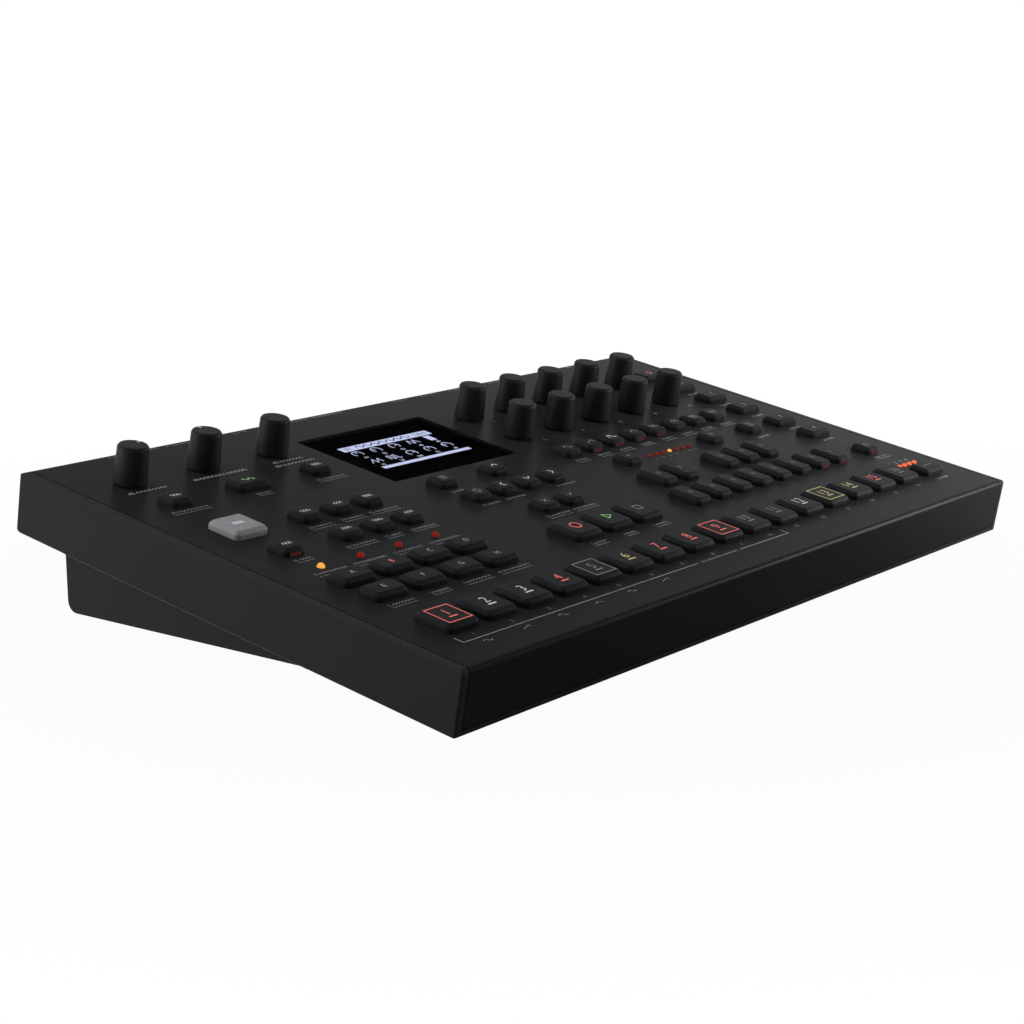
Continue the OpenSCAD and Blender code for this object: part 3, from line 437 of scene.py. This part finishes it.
def boardFinish(name, look):
    # Solder mask: a green shade with square blocks of copper showing a little lighter through it
    material, tree, shader, place = startMaterial(name)
    blocks = tree.nodes.new("ShaderNodeTexVoronoi")
    blocks.distance = "MANHATTAN"
    blocks.inputs["Scale"].default_value = look["blocks"]
    tree.links.new(place, blocks.inputs["Vector"])
    colour = addRamp(tree, blocks.outputs["Distance"], [(0.2, look["mask"]), (0.7, look["copper"])])
    tree.links.new(colour, shader.inputs["Base Color"])
    fine = addNoise(tree, place, look["grain"])
    tree.links.new(addRange(tree, fine, *look["rough"]), shader.inputs["Roughness"])
    addBump(tree, shader, blocks.outputs["Distance"], look["bump"], look["depth"])
    return material


def ribbonFinish(name, look):
    # A flat cable: grey strips side by side, the grooves between them as a wave across the width, painted
    # dark as shade in them
    material, tree, shader, place = startMaterial(name)
    strips = tree.nodes.new("ShaderNodeTexWave")
    strips.inputs["Scale"].default_value = look["strips"]
    strips.bands_direction = "X"
    tree.links.new(place, strips.inputs["Vector"])
    colour = addRamp(tree, strips.outputs["Fac"], [(0.1, look["groove"]), (0.6, look["strip"])])
    tree.links.new(colour, shader.inputs["Base Color"])
    addBump(tree, shader, strips.outputs["Fac"], look["bump"], look["depth"])
    shader.inputs["Roughness"].default_value = look["rough"]
    return material


def glassFinish(name, look):
    # Smoked cover glass with a faint unevenness in its gloss
    material, tree, shader, place = startMaterial(name)
    smear = addNoise(tree, place, look["smear"])
    tree.links.new(addRange(tree, smear, *look["rough"]), shader.inputs["Roughness"])
    shader.inputs["Base Color"].default_value = (*look["tint"], 1.0)
    shader.inputs["Transmission Weight"].default_value = 1.0
    shader.inputs["IOR"].default_value = look["bend"]
    return material


boardBase = {"grain": 1500.0, "rough": (0.3, 0.45), "bump": 0.15, "depth": 0.00005}
finishes["boardGreen"] = boardFinish("boardGreen", boardBase | {
    "blocks": 240.0, "mask": (0.006, 0.035, 0.014), "copper": (0.012, 0.075, 0.03)})
finishes["boardBlack"] = boardFinish("boardBlack", boardBase | {
    "blocks": 300.0, "mask": (0.008, 0.009, 0.01), "copper": (0.018, 0.02, 0.022)})
# The grooves' near-black colour is painted shade, not a colour of the cable
finishes["ribbon"] = ribbonFinish("ribbon", {
    "strips": 250.0, "groove": (0.09, 0.09, 0.09), "strip": (0.32, 0.32, 0.31),
    "bump": 0.4, "depth": 0.0002, "rough": 0.45})
# A coated glass: hardly any mirror image and a slight smoke tint
finishes["glass"] = glassFinish("glass", {
    "tint": (0.8, 0.82, 0.86), "rough": (0.0, 0.003), "bend": 1.012, "smear": 22.0})
print("finishes:", len(finishes))

# The CAD pieces that stay, with their finishes
nodeFinish = {
    "top_cover": "cover", "base_chassis": "chassis", "rubber_feet": "feet", "display_window": "glass",
    "display_module": "display", "panel_board": "boardBlack", "main_board": "boardGreen",
    "board_link": "ribbon", "case_posts": "steel", "case_screws": "steel", "key_switches": "plastic",
    "encoder_bodies": "steel", "audio_jacks": "plastic", "jack_nuts": "nickel",
    "midi_sockets": "plastic", "usb_socket": "nickel", "power_inlet": "plastic", "power_button": "key",
}
for node, finish in nodeFinish.items():
    nodes[node].data.materials.clear()
    nodes[node].data.materials.append(finishes[finish])
print("finished nodes kept:", len(nodeFinish))

# Places of the controls on the panel: column, row, width and length
layout = {
    "firstStep": 27.7, "stepPitch": 20.653, "stepV": 30.82, "bigW": 16.4, "bigD": 16.4, "small": 10.3,
    "firstColumn": 220.48, "columnPitch": 16.074, "naturalV": 63.14, "sharpV": 85.54, "paramV": 128.2,
    "octaveV": 107.2, "arrowV": 110.2, "pairV": 88.1, "bankV": (75.09, 60.09), "quickV": 165.0,
    "firstSix": 58.81, "sixPitch": 17.177, "trackU": 360.2, "trackPitch": 18.8, "functionShift": 0.3,
    "transposeV": 60.09, "pageV": 27.77, "firstKnob": 27.6, "knobPitch": 37.657, "knobV": 189.5,
    "dataV": (183.5, 155.0), "modeLampV": 89.74, "octaveLampPitch": 5.0, "pageLampV": 37.52,
    "pageLampPitch": 4.6,
}
bigW, bigD, small = layout["bigW"], layout["bigD"], layout["small"]
middleU = panel["windowU"]


def stepU(i):
    # Column of a step key: the first one plus i pitches
    return layout["firstStep"] + layout["stepPitch"] * i


def columnU(i):
    # Column of a keyboard or parameter key: the first one plus i pitches
    return layout["firstColumn"] + layout["columnPitch"] * i


def arrowU(i):
    # Column of an arrow key: four of them about the middle of the window
    return middleU + layout["columnPitch"] * (i - 1.5)


def knobU(i):
    # Column of a left-hand knob: the first one plus i pitches
    return layout["firstKnob"] + layout["knobPitch"] * i


paramV, octaveV, trackU = layout["paramV"], layout["octaveV"], layout["trackU"]
trackV = [paramV + i * layout["trackPitch"] for i in (3, 2, 1, 0)]
trackV += [octaveV, octaveV - layout["trackPitch"]]
sixU = [layout["firstSix"] + layout["sixPitch"] * i for i in range(3)]
keyPlaces = {f"key_step_{i + 1:02d}": [(stepU(i), layout["stepV"], bigW, bigD)] for i in range(16)}
keyPlaces |= {
    f"key_{name}": [(middleU + i * layout["stepPitch"], layout["naturalV"], bigW, bigD)]
    for i, name in zip((-1, 0, 1), ("record", "play", "stop"))
}
keyPlaces |= {
    "key_function": [(stepU(0), paramV + (bigD - small) / 2 + layout["functionShift"], bigW, bigD)],
    "keys_bank": [(stepU(i), v, bigW, small) for v in layout["bankV"] for i in range(4)],
    "keys_naturals": [(columnU(i), layout["naturalV"], small, bigD) for i in range(8)],
    "keys_sharps": [(columnU(i), layout["sharpV"], small, bigD) for i in (0.5, 1.5, 3.5, 4.5, 5.5)],
    "keys_arrows": [(arrowU(i), v, small, small) for i, v in (
        (0, paramV), (2, paramV), (0, layout["arrowV"]), (1, layout["arrowV"]), (2, layout["arrowV"]),
        (3, layout["arrowV"]), (1, layout["pairV"]), (2, layout["pairV"]))],
    "keys_parameters": [(columnU(i), paramV, small, small) for i in range(8)],
    "keys_tracks": [(trackU, v, bigW, small) for v in trackV],
    "keys_left": [
        (stepU(0), layout["quickV"], small, small),
        (knobU(1), layout["quickV"], bigW, small),
        (knobU(2), layout["quickV"], small, small),
        (stepU(0), octaveV, small, small),
    ] + [(u, v, small, small) for v in (paramV, octaveV) for u in sixU],
    "keys_right": [
        (columnU(1), octaveV, small, small),
        (columnU(5), octaveV, small, small),
        (columnU(7), octaveV, small, small),
        (trackU, layout["transposeV"], small, small),
        (trackU, layout["pageV"], bigW, small),
    ],
}

# Key caps: a straight wall, a sloping shoulder and a flat top, with soft edges between them
keyCap = {"top": 3.2, "slope": 1.4, "corner": 2.4, "sunk": -1.4, "flat": 2.1, "edge": (0.3, 0.22)}
keyProfile = roundedLine([
    (0, keyCap["sunk"]),
    (0, keyCap["top"] - keyCap["slope"]),
    (keyCap["slope"], keyCap["top"]),
    (keyCap["flat"], keyCap["top"]),
], keyCap["edge"])
for node, places in keyPlaces.items():
    finish = finishes["keyLight" if node == "key_function" else "key"]
    caps = [roundedBlock(place, keyProfile, keyCap["corner"]) for place in places]
    addPiece(node + "_cap", caps, node, finish, [node])
print("key caps:", sum(len(p) for p in keyPlaces.values()))

# Knobs: a slightly tapered wall with a soft foot, a narrow rounded rim and a flat top
knob = {"foot": 6.65, "head": 6.05, "top": 15.7, "bore": 3.0, "gap": 0.6, "rim": (0.7, 0.9),
        "edge": (0.25, 0.4, 0.35), "steps": 7, "sides": 72, "flat": 4.0, "dot": (3.2, 5.2, 1.2),
        "dotLevel": 15.69, "dotTurn": {"knob_volume": 20.6, "knob_performance": 91.7}}
knobProfile = roundedLine([
    (knob["bore"], knob["gap"]),
    (knob["foot"], knob["gap"]),
    (knob["head"], knob["top"] - knob["rim"][1]),
    (knob["head"] - knob["rim"][0], knob["top"]),
    (knob["flat"], knob["top"]),
], knob["edge"], knob["steps"])
knobPlaces = {
    name: (knobU(i), layout["knobV"])
    for i, name in enumerate(("knob_volume", "knob_performance", "knob_level"))
}
encoderPitch = layout["columnPitch"] * 7 / 4
knobPlaces |= {
    f"knob_data_{row * 5 + i + 1}": (layout["firstColumn"] + encoderPitch * i, v)
    for row, v in enumerate(layout["dataV"]) for i in range(5)
}
for node, place in knobPlaces.items():
    caps = [turned(place, knobProfile, knob["sides"])]
    addPiece(node + "_cap", caps, node, finishes["knob"], [node])
for node, degrees in knob["dotTurn"].items():
    along = np.array([math.cos(math.radians(degrees)), math.sin(math.radians(degrees))])
    inner, outer, width = knob["dot"]
    path = np.array(knobPlaces[node]) + np.outer([inner, outer], along)
    addPiece(node + "_dot", [stroke(path, width, knob["dotLevel"])], node, finishes["ink"])
print("knobs:", len(knobPlaces))

# Signal lamps: a short clear post with a round head, some lit
lamp = {"modeR": 1.5, "octaveR": 1.0, "pageR": 1.2, "sunk": -2.0, "share": 0.97, "rows": 8,
        "sides": 32}


def dome(place, radius):
    # Most of a quarter circle from the panel up to the middle, on a short straight wall, turned round
    turn = np.linspace(0, math.pi / 2 * lamp["share"], lamp["rows"])
    wall = np.array([[radius, lamp["sunk"]]])
    bow = np.stack([np.cos(turn), np.sin(turn)], 1) * radius
    return turned(place, np.concatenate([wall, bow]), lamp["sides"])


modeLamps = [dome((stepU(i), layout["modeLampV"]), lamp["modeR"]) for i in range(4)]
octaveLamps = [
    dome((columnU(3) + i * layout["octaveLampPitch"], octaveV), lamp["octaveR"]) for i in range(-3, 4)
]
pageLamps = [
    dome((trackU + (i - 1.5) * layout["pageLampPitch"], layout["pageLampV"]), lamp["pageR"])
    for i in range(4)
]
addPiece("lamps_red", modeLamps[1:] + octaveLamps[:3] + octaveLamps[4:], "case",
         finishes["glowDeepRed"], ["lamps"])
addPiece("lamps_orange", pageLamps, "case", finishes["glowOrange"], ["lamps"])
addPiece("lamps_amber", modeLamps[:1] + octaveLamps[3:4], "case", finishes["glowAmber"], ["lamps"])
print("lamps:", len(modeLamps + octaveLamps + pageLamps))

# Lit marks on the keys, drawn on their flat tops
keyTop = keyCap["top"]
keyMarks = {}


def mark(body, glow, *parts):
    # Parts gathered by the body that carries them and the colour of their light
    keyMarks.setdefault((body, glow), []).extend(parts)


def dash(place, length, width, along=0.0):
    # A short bar through the place, along a direction in degrees
    turn = math.radians(along)
    reach = np.array([math.cos(turn), math.sin(turn)]) * length / 2
    return stroke([np.array(place) - reach, np.array(place) + reach], width, keyTop)


stepMark = {"figure": 4.3, "figureUp": 1.1, "bar": 4.2, "barWidth": 0.7, "barDown": 2.5, "frame": 11.8,
            "frameWidth": 0.42, "framed": (0, 4, 8, 12)}
stepGlows = ["Red", "White", "White", "Red", "Grey", "Yellow", "Red", "Red",
             "Red", "Grey", "Grey", "White", "Yellow", "Yellow", "Red", "Grey"]
for i, glow in enumerate(stepGlows):
    body = f"key_step_{i + 1:02d}"
    u, v = keyPlaces[body][0][:2]
    mark(body, glow, numerals(str(i + 1), (u, v + stepMark["figureUp"]), stepMark["figure"], keyTop),
         dash((u, v - stepMark["barDown"]), stepMark["bar"], stepMark["barWidth"]))
    if i in stepMark["framed"]:
        mark(body, glow, square((u, v), stepMark["frame"], stepMark["frameWidth"], keyTop))

sign = {"radius": 2.4, "width": 0.5, "letter": 2.4, "bar": 2.5}
for body, glow, sides, start in (("key_record", "Red", 36, 0.0), ("key_play", "Green", 3, 0.0),
                                 ("key_stop", "Grey", 4, math.pi / 4)):
    mark(body, glow, outline(keyPlaces[body][0][:2], sign["radius"], sign["width"], keyTop, sides, start))

for place, letter in zip(keyPlaces["keys_bank"], "ABCDEFGH"):
    glow = "Red" if letter == "B" else "Pale"
    mark("keys_bank", glow, numerals(letter, place[:2], sign["letter"], keyTop))
for body in ("keys_naturals", "keys_sharps"):
    mark(body, "Grey", *[dash(place[:2], sign["bar"], sign["width"], 90) for place in keyPlaces[body]])

# Arrow keys: a list, a ring, four pointers, a cross and a tick
thin = 0.42
arrowSign = {"line": 3.6, "rows": (-1.2, 0, 1.2), "ring": 1.5, "tip": 0.8, "half": 1.7, "back": 1.6,
             "cross": 3.8, "tick": ((-1.7, 0.1), (-0.5, -1.2), (1.8, 1.4))}
arrowKeys = [place[:2] for place in keyPlaces["keys_arrows"]]
listKey, upKey, ringKey, leftKey, downKey, rightKey, noKey, yesKey = arrowKeys
mark("keys_arrows", "Grey", *[
    dash((listKey[0], listKey[1] + i), arrowSign["line"], thin) for i in arrowSign["rows"]
])
mark("keys_arrows", "Grey", outline(ringKey, arrowSign["ring"], thin, keyTop))
for place, turn in ((upKey, (1, 0)), (leftKey, (0, 1)), (downKey, (-1, 0)), (rightKey, (0, -1))):
    across, along = np.array([turn[0], turn[1]]), np.array([-turn[1], turn[0]])
    tip = np.array(place) + along * arrowSign["tip"]
    wing = across * arrowSign["half"]
    tail = along * arrowSign["back"]
    mark("keys_arrows", "White", stroke([tip - wing - tail, tip, tip + wing - tail], thin, keyTop))
mark("keys_arrows", "Grey", *[dash(noKey, arrowSign["cross"], thin, turn) for turn in (45, -45)])
mark("keys_arrows", "Grey", stroke(np.array(arrowSign["tick"]) + np.array(yesKey), thin, keyTop))

waveKinds = list(waveShapes)
waveSign = {"parameter": (2.4, 1.1), "wide": (3.0, 0.9), "left": (2.3, 0.75), "function": (2.6, 0.8)}


def keyWave(kind, place, size, turns):
    # A wave about the middle of a key, from half its length before it to half its length after it
    half, rise = waveSign[size]
    return wave(kind, place[0] - half, place[0] + half, place[1], rise, turns, thin, keyTop)


for i, place in enumerate(keyPlaces["keys_parameters"]):
    sketch = keyWave(waveKinds[i % 4], place, "parameter", 1 + i // 4)
    mark("keys_parameters", "White" if i == 2 else "Grey", sketch)

trackSign = {"rings": 2, "ring": 1.4, "figure": 2.4}
for i, place in enumerate(keyPlaces["keys_tracks"]):
    if i < trackSign["rings"]:
        mark("keys_tracks", "Red" if i == 0 else "Grey", outline(place[:2], trackSign["ring"], thin, keyTop))
    else:
        mark("keys_tracks", "Green", numerals(str(i - 1), place[:2], trackSign["figure"], keyTop))

for i, place in enumerate(keyPlaces["keys_left"]):
    if i == 1:
        mark("keys_left", "Green", keyWave("sine", place, "wide", 2))
    else:
        mark("keys_left", "Pale", keyWave(waveKinds[i % 4], place, "left", 3))
mark("key_function", "White", keyWave("square", keyPlaces["key_function"][0], "function", 3))

rightSign = {"line": 3.2, "square": 2.8, "triangle": 1.6, "dot": 0.45, "dotPitch": 1.8}
minusKey, plusKey, clearKey, shiftKey, pageKey = [place[:2] for place in keyPlaces["keys_right"]]
mark("keys_right", "Grey", dash(minusKey, rightSign["line"], thin))
mark("keys_right", "Grey", *[dash(plusKey, rightSign["line"], thin, turn) for turn in (0, 90)])
mark("keys_right", "Grey", square(clearKey, rightSign["square"], thin, keyTop))
mark("keys_right", "Grey", outline(shiftKey, rightSign["triangle"], thin, keyTop, 3, math.pi / 2))
mark("keys_right", "Grey", *[
    disc((pageKey[0] + (i - 1.5) * rightSign["dotPitch"], pageKey[1]), rightSign["dot"], keyTop)
    for i in range(4)
])

# Red light that leaks out at the foot of some keys
leak = {"low": 0.1, "high": 1.5, "thick": 0.1, "trim": 2.3, "keys": {
    "keys_parameters": (1, 2, 3, 4), "keys_left": (3,), "keys_naturals": (6, 7), "keys_right": (3,)}}
for body, numbers in leak["keys"].items():
    for u, v, width, depth in [keyPlaces[body][i] for i in numbers]:
        foot = [(u - width / 2 + leak["trim"], v - depth / 2), (u + width / 2 - leak["trim"], v - depth / 2)]
        mark(body, "Leak", line(foot, leak["thick"], leak["low"], leak["high"]))

for (body, glow), parts in keyMarks.items():
    addPiece(f"{body}_mark_{glow.lower()}", parts, body, finishes["glow" + glow])
print("lit marks:", sum(len(parts) for parts in keyMarks.values()))

# Printed marks on the panel: each label is a number and a short wave, most of them over a line
label = {"figure": 1.7, "figureWidth": 1.15, "space": 0.6, "rise": 0.5, "period": 1.6, "width": 0.24,
         "line": 0.24, "columnHalf": 4.4}
prints = []
dimPrints = []
labelCount = 0


def addLabel(left, right, v, lineV=None, size=1.0, target=dimPrints):
    # A number at the left end, a wave over the rest of the width, and a straight line below
    global labelCount
    labelCount += 1
    figure = str(labelCount % 99)
    figureEnd = left + label["figureWidth"] * len(figure) * size
    target.append(numerals(figure, ((left + figureEnd) / 2, v), label["figure"] * size, 0))
    first = figureEnd + label["space"]
    turns = max(1, round((right - first) / label["period"] / size))
    kind = waveKinds[labelCount % 4]
    target.append(wave(kind, first, right, v, label["rise"] * size, turns, label["width"] * size, 0))
    if lineV is not None:
        target.append(stroke([(left, lineV), (right, lineV)], label["line"], 0))


labelRows = [
    {"v": 51.4, "line": 49.4, "spans": [(20.8, 34.3), (43, 53), (61, 76), (80.5, 98)]},
    {"v": 51.3, "line": 49.3, "spans": [(137, 146), (158, 166), (178, 187.5), (355.5, 365.5)]},
    {"v": 85.2, "line": 82.9, "spans": [(20, 36), (40, 57), (61, 77), (81, 98)]},
    {"v": 80.4, "line": 78.3, "spans": [(146, 161), (163, 178)]},
    {"v": 98.5, "line": 96.5, "spans": [(23, 32), (50, 66.5), (71.5, 80), (85.5, 100)]},
    {"v": 102.5, "line": None, "spans": [(133, 144), (148, 160), (180.5, 193)]},
    {"v": 98.2, "line": None, "spans": [(328, 337)]},
    {"v": 119.6, "line": 117.5, "spans": [(52.5, 65), (70, 82), (85.5, 101.5)]},
    {"v": 119.7, "line": None, "spans": [(134, 142)]},
    {"v": 119.6, "line": 117.4, "spans": [
        (columnU(i) - label["columnHalf"], columnU(i) + label["columnHalf"]) for i in range(8)]},
    {"v": 156.7, "line": 154.7, "spans": [(18.5, 37), (62, 69.5), (95.5, 111)]},
    {"v": 18.5, "line": None, "spans": [(355.5, 364.5)]},
]
for row in labelRows:
    for left, right in row["spans"]:
        addLabel(left, right, row["v"], row["line"])
trackLabel = {"half": 4.5, "down": 8.9}
for v in trackV:
    addLabel(trackU - trackLabel["half"], trackU + trackLabel["half"], v - trackLabel["down"])
knobLabel = {"size": 1.25, "spans": (
    (18.5, 37.5, 180.4), (51.6, 79.6, 180.4), (94.7, 111.2, 180.4), (92.2, 114.2, 176.7))}
for left, right, v in knobLabel["spans"]:
    addLabel(left, right, v, size=knobLabel["size"], target=prints)
rearLabel = {"v": 216.3, "size": 0.72, "spans": (
    (40, 44.5), (61, 66), (70, 84), (107, 115), (141, 152), (154, 173), (206, 216), (225, 237),
    (245, 256), (273, 285), (335, 345))}
for left, right in rearLabel["spans"]:
    addLabel(left, right, rearLabel["v"], size=rearLabel["size"])

# Brackets and small marks in front of the step keys
bracket = {"v": 15.8, "tick": 20.0, "left": 18.8, "right": 222.8, "gap": (158.0, 187.0), "width": 0.26,
           "space": 2}
prints.append(stroke([(bracket["left"], bracket["tick"]), (bracket["left"], bracket["v"]),
                      (bracket["gap"][0], bracket["v"])], bracket["width"], 0))
prints.append(stroke([(bracket["gap"][1], bracket["v"]), (bracket["right"], bracket["v"]),
                      (bracket["right"], bracket["tick"])], bracket["width"], 0))
addLabel(bracket["gap"][0] + bracket["space"], bracket["gap"][1] - bracket["space"], bracket["v"])
stepPrint = {"v": 18.9, "figure": 1.8, "waves": 6, "waveV": 12.6, "half": 2.2, "rise": 0.7, "width": 0.3}
for i in range(16):
    u = stepU(i)
    dimPrints.append(numerals(str(i + 1), (u, stepPrint["v"]), stepPrint["figure"], 0))
    if i < stepPrint["waves"]:
        dimPrints.append(wave(waveKinds[i % 4], u - stepPrint["half"], u + stepPrint["half"],
                              stepPrint["waveV"], stepPrint["rise"], 1, stepPrint["width"], 0))

# Figures at the encoders, the octave lamps and the page lamps: their places beside them and their heights
figures = {"dataRight": 7.6, "dataDown": 8.9, "data": 2.3, "octaveDown": 4.0, "octave": 1.4, "pageUp": 4.6,
           "page": 2.0}
for i in range(10):
    u, v = knobPlaces[f"knob_data_{i + 1}"]
    spot = (u + figures["dataRight"], v - figures["dataDown"])
    dimPrints.append(numerals(str(i + 1), spot, figures["data"], 0))
for i in range(-3, 4):
    spot = (columnU(3) + i * layout["octaveLampPitch"], octaveV - figures["octaveDown"])
    dimPrints.append(numerals(str(abs(i)), spot, figures["octave"], 0))
for i in range(4):
    spot = (trackU + (i - 1.5) * layout["pageLampPitch"], layout["pageLampV"] + figures["pageUp"])
    prints.append(numerals(str(i + 1), spot, figures["page"], 0))
addPiece("panel_print", prints, "case", finishes["ink"])
addPiece("panel_print_dim", dimPrints, "case", finishes["inkDim"])
print("printed marks:", len(prints + dimPrints))

# Picture on the display, a design of plain dials, waves and numbers below the glass
screen = {"left": 135.2, "right": 190.2, "head": (183.4, 178.8), "foot": (158.4, 156.0), "level": -1.45,
          "columns": (138.8, 150.2, 161.6, 173.0, 184.4), "dialV": (175.0, 165.0), "figureV": (170.1, 160.3),
          "dial": 2.6, "width": 0.42, "figure": 1.6, "waves": (3, 5, 6), "waveHalf": 3.2, "waveRise": 1.9,
          "bar": 4, "barHalf": 2.8, "barWidth": 3.6, "sweep": (225, -45), "pointer": (0.15, 0.85),
          "most": 127}
level, width = screen["level"], screen["width"]
lit = [
    stroke([(screen["left"], sum(band) / 2), (screen["right"], sum(band) / 2)], band[0] - band[1], level)
    for band in (screen["head"], screen["foot"])
]
settings = (64, 32, 96, 48, 80, 12, 24, 100, 72, 40)   # out of the most, a pointer and a figure each
for i, setting in enumerate(settings):
    u = screen["columns"][i % 5]
    v = screen["dialV"][i // 5]
    if i in screen["waves"]:
        half = screen["waveHalf"]
        lit.append(wave(waveKinds[i % 4], u - half, u + half, v, screen["waveRise"], 2, width, level))
    elif i == screen["bar"]:
        half = screen["barHalf"]
        lit.append(stroke([(u, v - half), (u, v + half)], screen["barWidth"], level))
    else:
        first, last = screen["sweep"]
        pointer = math.radians(first + (last - first) * setting / screen["most"])
        lit.append(arc((u, v), screen["dial"], width, level, first, last))
        tip = np.array([math.cos(pointer), math.sin(pointer)]) * screen["dial"]
        lit.append(stroke([np.array([u, v]) + tip * at for at in screen["pointer"]], width, level))
    lit.append(numerals(str(setting), (u, screen["figureV"][i // 5]), screen["figure"], level))
addPiece("display_picture", lit, "case", finishes["glowScreen"])
head = {"v": sum(screen["head"]) / 2, "level": level + 0.05, "figure": 2.6, "number": 4.0, "tempo": 6.0,
        "wave": (9, 13), "rise": 1.0, "turns": 7, "width": 0.55}
headFigures = [
    numerals("01", (screen["left"] + head["number"], head["v"]), head["figure"], head["level"]),
    numerals("120.0", (screen["right"] - head["tempo"], head["v"]), head["figure"], head["level"]),
    wave("sine", screen["left"] + head["wave"][0], screen["right"] - head["wave"][1], head["v"],
         head["rise"], head["turns"], head["width"], head["level"]),
]
addPiece("display_head_figures", headFigures, "case", finishes["display"])
print("display picture:", len(lit) + len(headFigures))

# Painted highlight: light grey strips on the lower edges of the side walls, over the housing, standing in
# for the light caught along them
edgeHighlight = {"inset": 0.2, "width": 0.3, "low": -23.92, "high": -23.78, "from": 66.0, "to": 193.0,
            "panel": 385.0}
edges = [
    line([(u, edgeHighlight["from"]), (u, edgeHighlight["to"])], edgeHighlight["width"], edgeHighlight["low"], edgeHighlight["high"])
    for u in (edgeHighlight["inset"], edgeHighlight["panel"] - edgeHighlight["inset"])
]
addPiece("wall_edge_highlights", edges, "case", finishes["edge"])

# Floor, background and light: near and far pair a distance from the middle with the share of white there,
# and room pairs the rise of a direction with it
# The floor's own colour is a dark grey, seen mostly near the object, where it acts as painted shade round it
stage = {"floorHalf": 6.0, "floor": (0.2, 0.2, 0.198), "paper": 3.0, "paperDark": 0.985, "rough": 0.9,
         "gloss": 0.1, "ambient": 0.16, "near": (0.22, 0.965), "far": (0.42, 1.0),
         "mirrorNear": (0.16, 0.1), "mirrorFar": (0.46, 1.0), "room": ((0.372, 1.0), (0.395, 0.04))}
floorMesh = bpy.data.meshes.new("floor")
half = stage["floorHalf"]
floorMesh.from_pydata([(-half, -half, 0), (half, -half, 0), (half, half, 0), (-half, half, 0)], [],
                      [(0, 1, 2, 3)])
floor = bpy.data.objects.new("floor", floorMesh)
scene.collection.objects.link(floor)
floorMaterial, tree, shader, place = startMaterial("floor")
paper = addRamp(tree, addNoise(tree, place, stage["paper"]), [
    (0.3, tuple(c * stage["paperDark"] for c in stage["floor"])),
    (0.7, stage["floor"]),
])
tree.links.new(paper, shader.inputs["Base Color"])
shader.inputs["Roughness"].default_value = stage["rough"]
shader.inputs["Specular IOR Level"].default_value = stage["gloss"]
# Seen and mirrored, the floor is white light of its own away from the object, and dims towards it. Near the
# object the lit floor shows through: its shadow of the object is real, and its dark colour there is painted
# shade round the object, strongest in mirror images.
seen = tree.nodes.new("ShaderNodeLightPath")
reach = tree.nodes.new("ShaderNodeVectorMath")
reach.operation = "LENGTH"
tree.links.new(place, reach.inputs[0])
seenShare = addSpread(tree, reach.outputs["Value"], stage["near"], stage["far"])
mirrorShare = addSpread(tree, reach.outputs["Value"], stage["mirrorNear"], stage["mirrorFar"])
part = addMath(tree, "ADD", addMath(tree, "MULTIPLY", seen.outputs["Is Camera Ray"], seenShare),
               addMath(tree, "MULTIPLY", seen.outputs["Is Glossy Ray"], mirrorShare))
white = tree.nodes.new("ShaderNodeEmission")
blend = tree.nodes.new("ShaderNodeMixShader")
tree.links.new(part, blend.inputs["Fac"])
tree.links.new(shader.outputs["BSDF"], blend.inputs[1])
tree.links.new(white.outputs["Emission"], blend.inputs[2])
tree.links.new(blend.outputs["Shader"], tree.nodes["Material Output"].inputs["Surface"])
floorMesh.materials.append(floorMaterial)

world = bpy.data.worlds.new("studio")
scene.world = world
world.use_nodes = True
tree = world.node_tree
back = tree.nodes["Background"]
back.inputs["Color"].default_value = (1.0, 1.0, 1.0, 1.0)
# White where it is seen, in mirror images white up to the top of a backdrop, and low as plain light
seen = tree.nodes.new("ShaderNodeLightPath")
direction = tree.nodes.new("ShaderNodeTexCoord")
axes = tree.nodes.new("ShaderNodeSeparateXYZ")
tree.links.new(direction.outputs["Generated"], axes.inputs["Vector"])
backdrop = addSpread(tree, axes.outputs["Z"], *stage["room"])
bent = addMath(tree, "MAXIMUM", seen.outputs["Is Glossy Ray"], seen.outputs["Is Transmission Ray"])
mirrored = addMath(tree, "MULTIPLY", bent, backdrop)
ambient = tree.nodes.new("ShaderNodeValue")
ambient.outputs["Value"].default_value = stage["ambient"]
shown = addMath(tree, "MAXIMUM", seen.outputs["Is Camera Ray"], mirrored)
level = addMath(tree, "MAXIMUM", shown, ambient.outputs["Value"])
tree.links.new(level, back.inputs["Strength"])

lights = {
    "softbox_left": {"place": (-0.85, 0.6, 0.2), "size": (0.8, 0.4), "power": 7.0},
    "softbox_rear": {"place": (-0.28, 0.75, 0.95), "size": (0.6, 0.6), "power": 3.0},
    "softbox_right": {"place": (0.38, 0.03, 0.15), "size": (0.16, 0.16), "power": 0.8, "mirrored": False},
    "softbox_front": {"place": (0.33, -0.24, 0.1), "size": (0.14, 0.14), "power": 1.0},
    "softbox_top": {"place": (0.0, 0.15, 1.1), "size": (1.2, 1.2), "power": 5.5},
}
for name, light in lights.items():
    lightData = bpy.data.lights.new(name, "AREA")
    lightData.shape = "RECTANGLE"
    lightData.size, lightData.size_y = light["size"]
    lightData.energy = light["power"]
    lightObject = bpy.data.objects.new(name, lightData)
    lightObject.location = light["place"]
    lightObject.rotation_euler = (-Vector(light["place"])).to_track_quat("-Z", "Y").to_euler()
    lightObject.visible_camera = False
    lightObject.visible_glossy = light.get("mirrored", True)
    scene.collection.objects.link(lightObject)
scene.view_settings.view_transform = "Standard"
print("stage set")
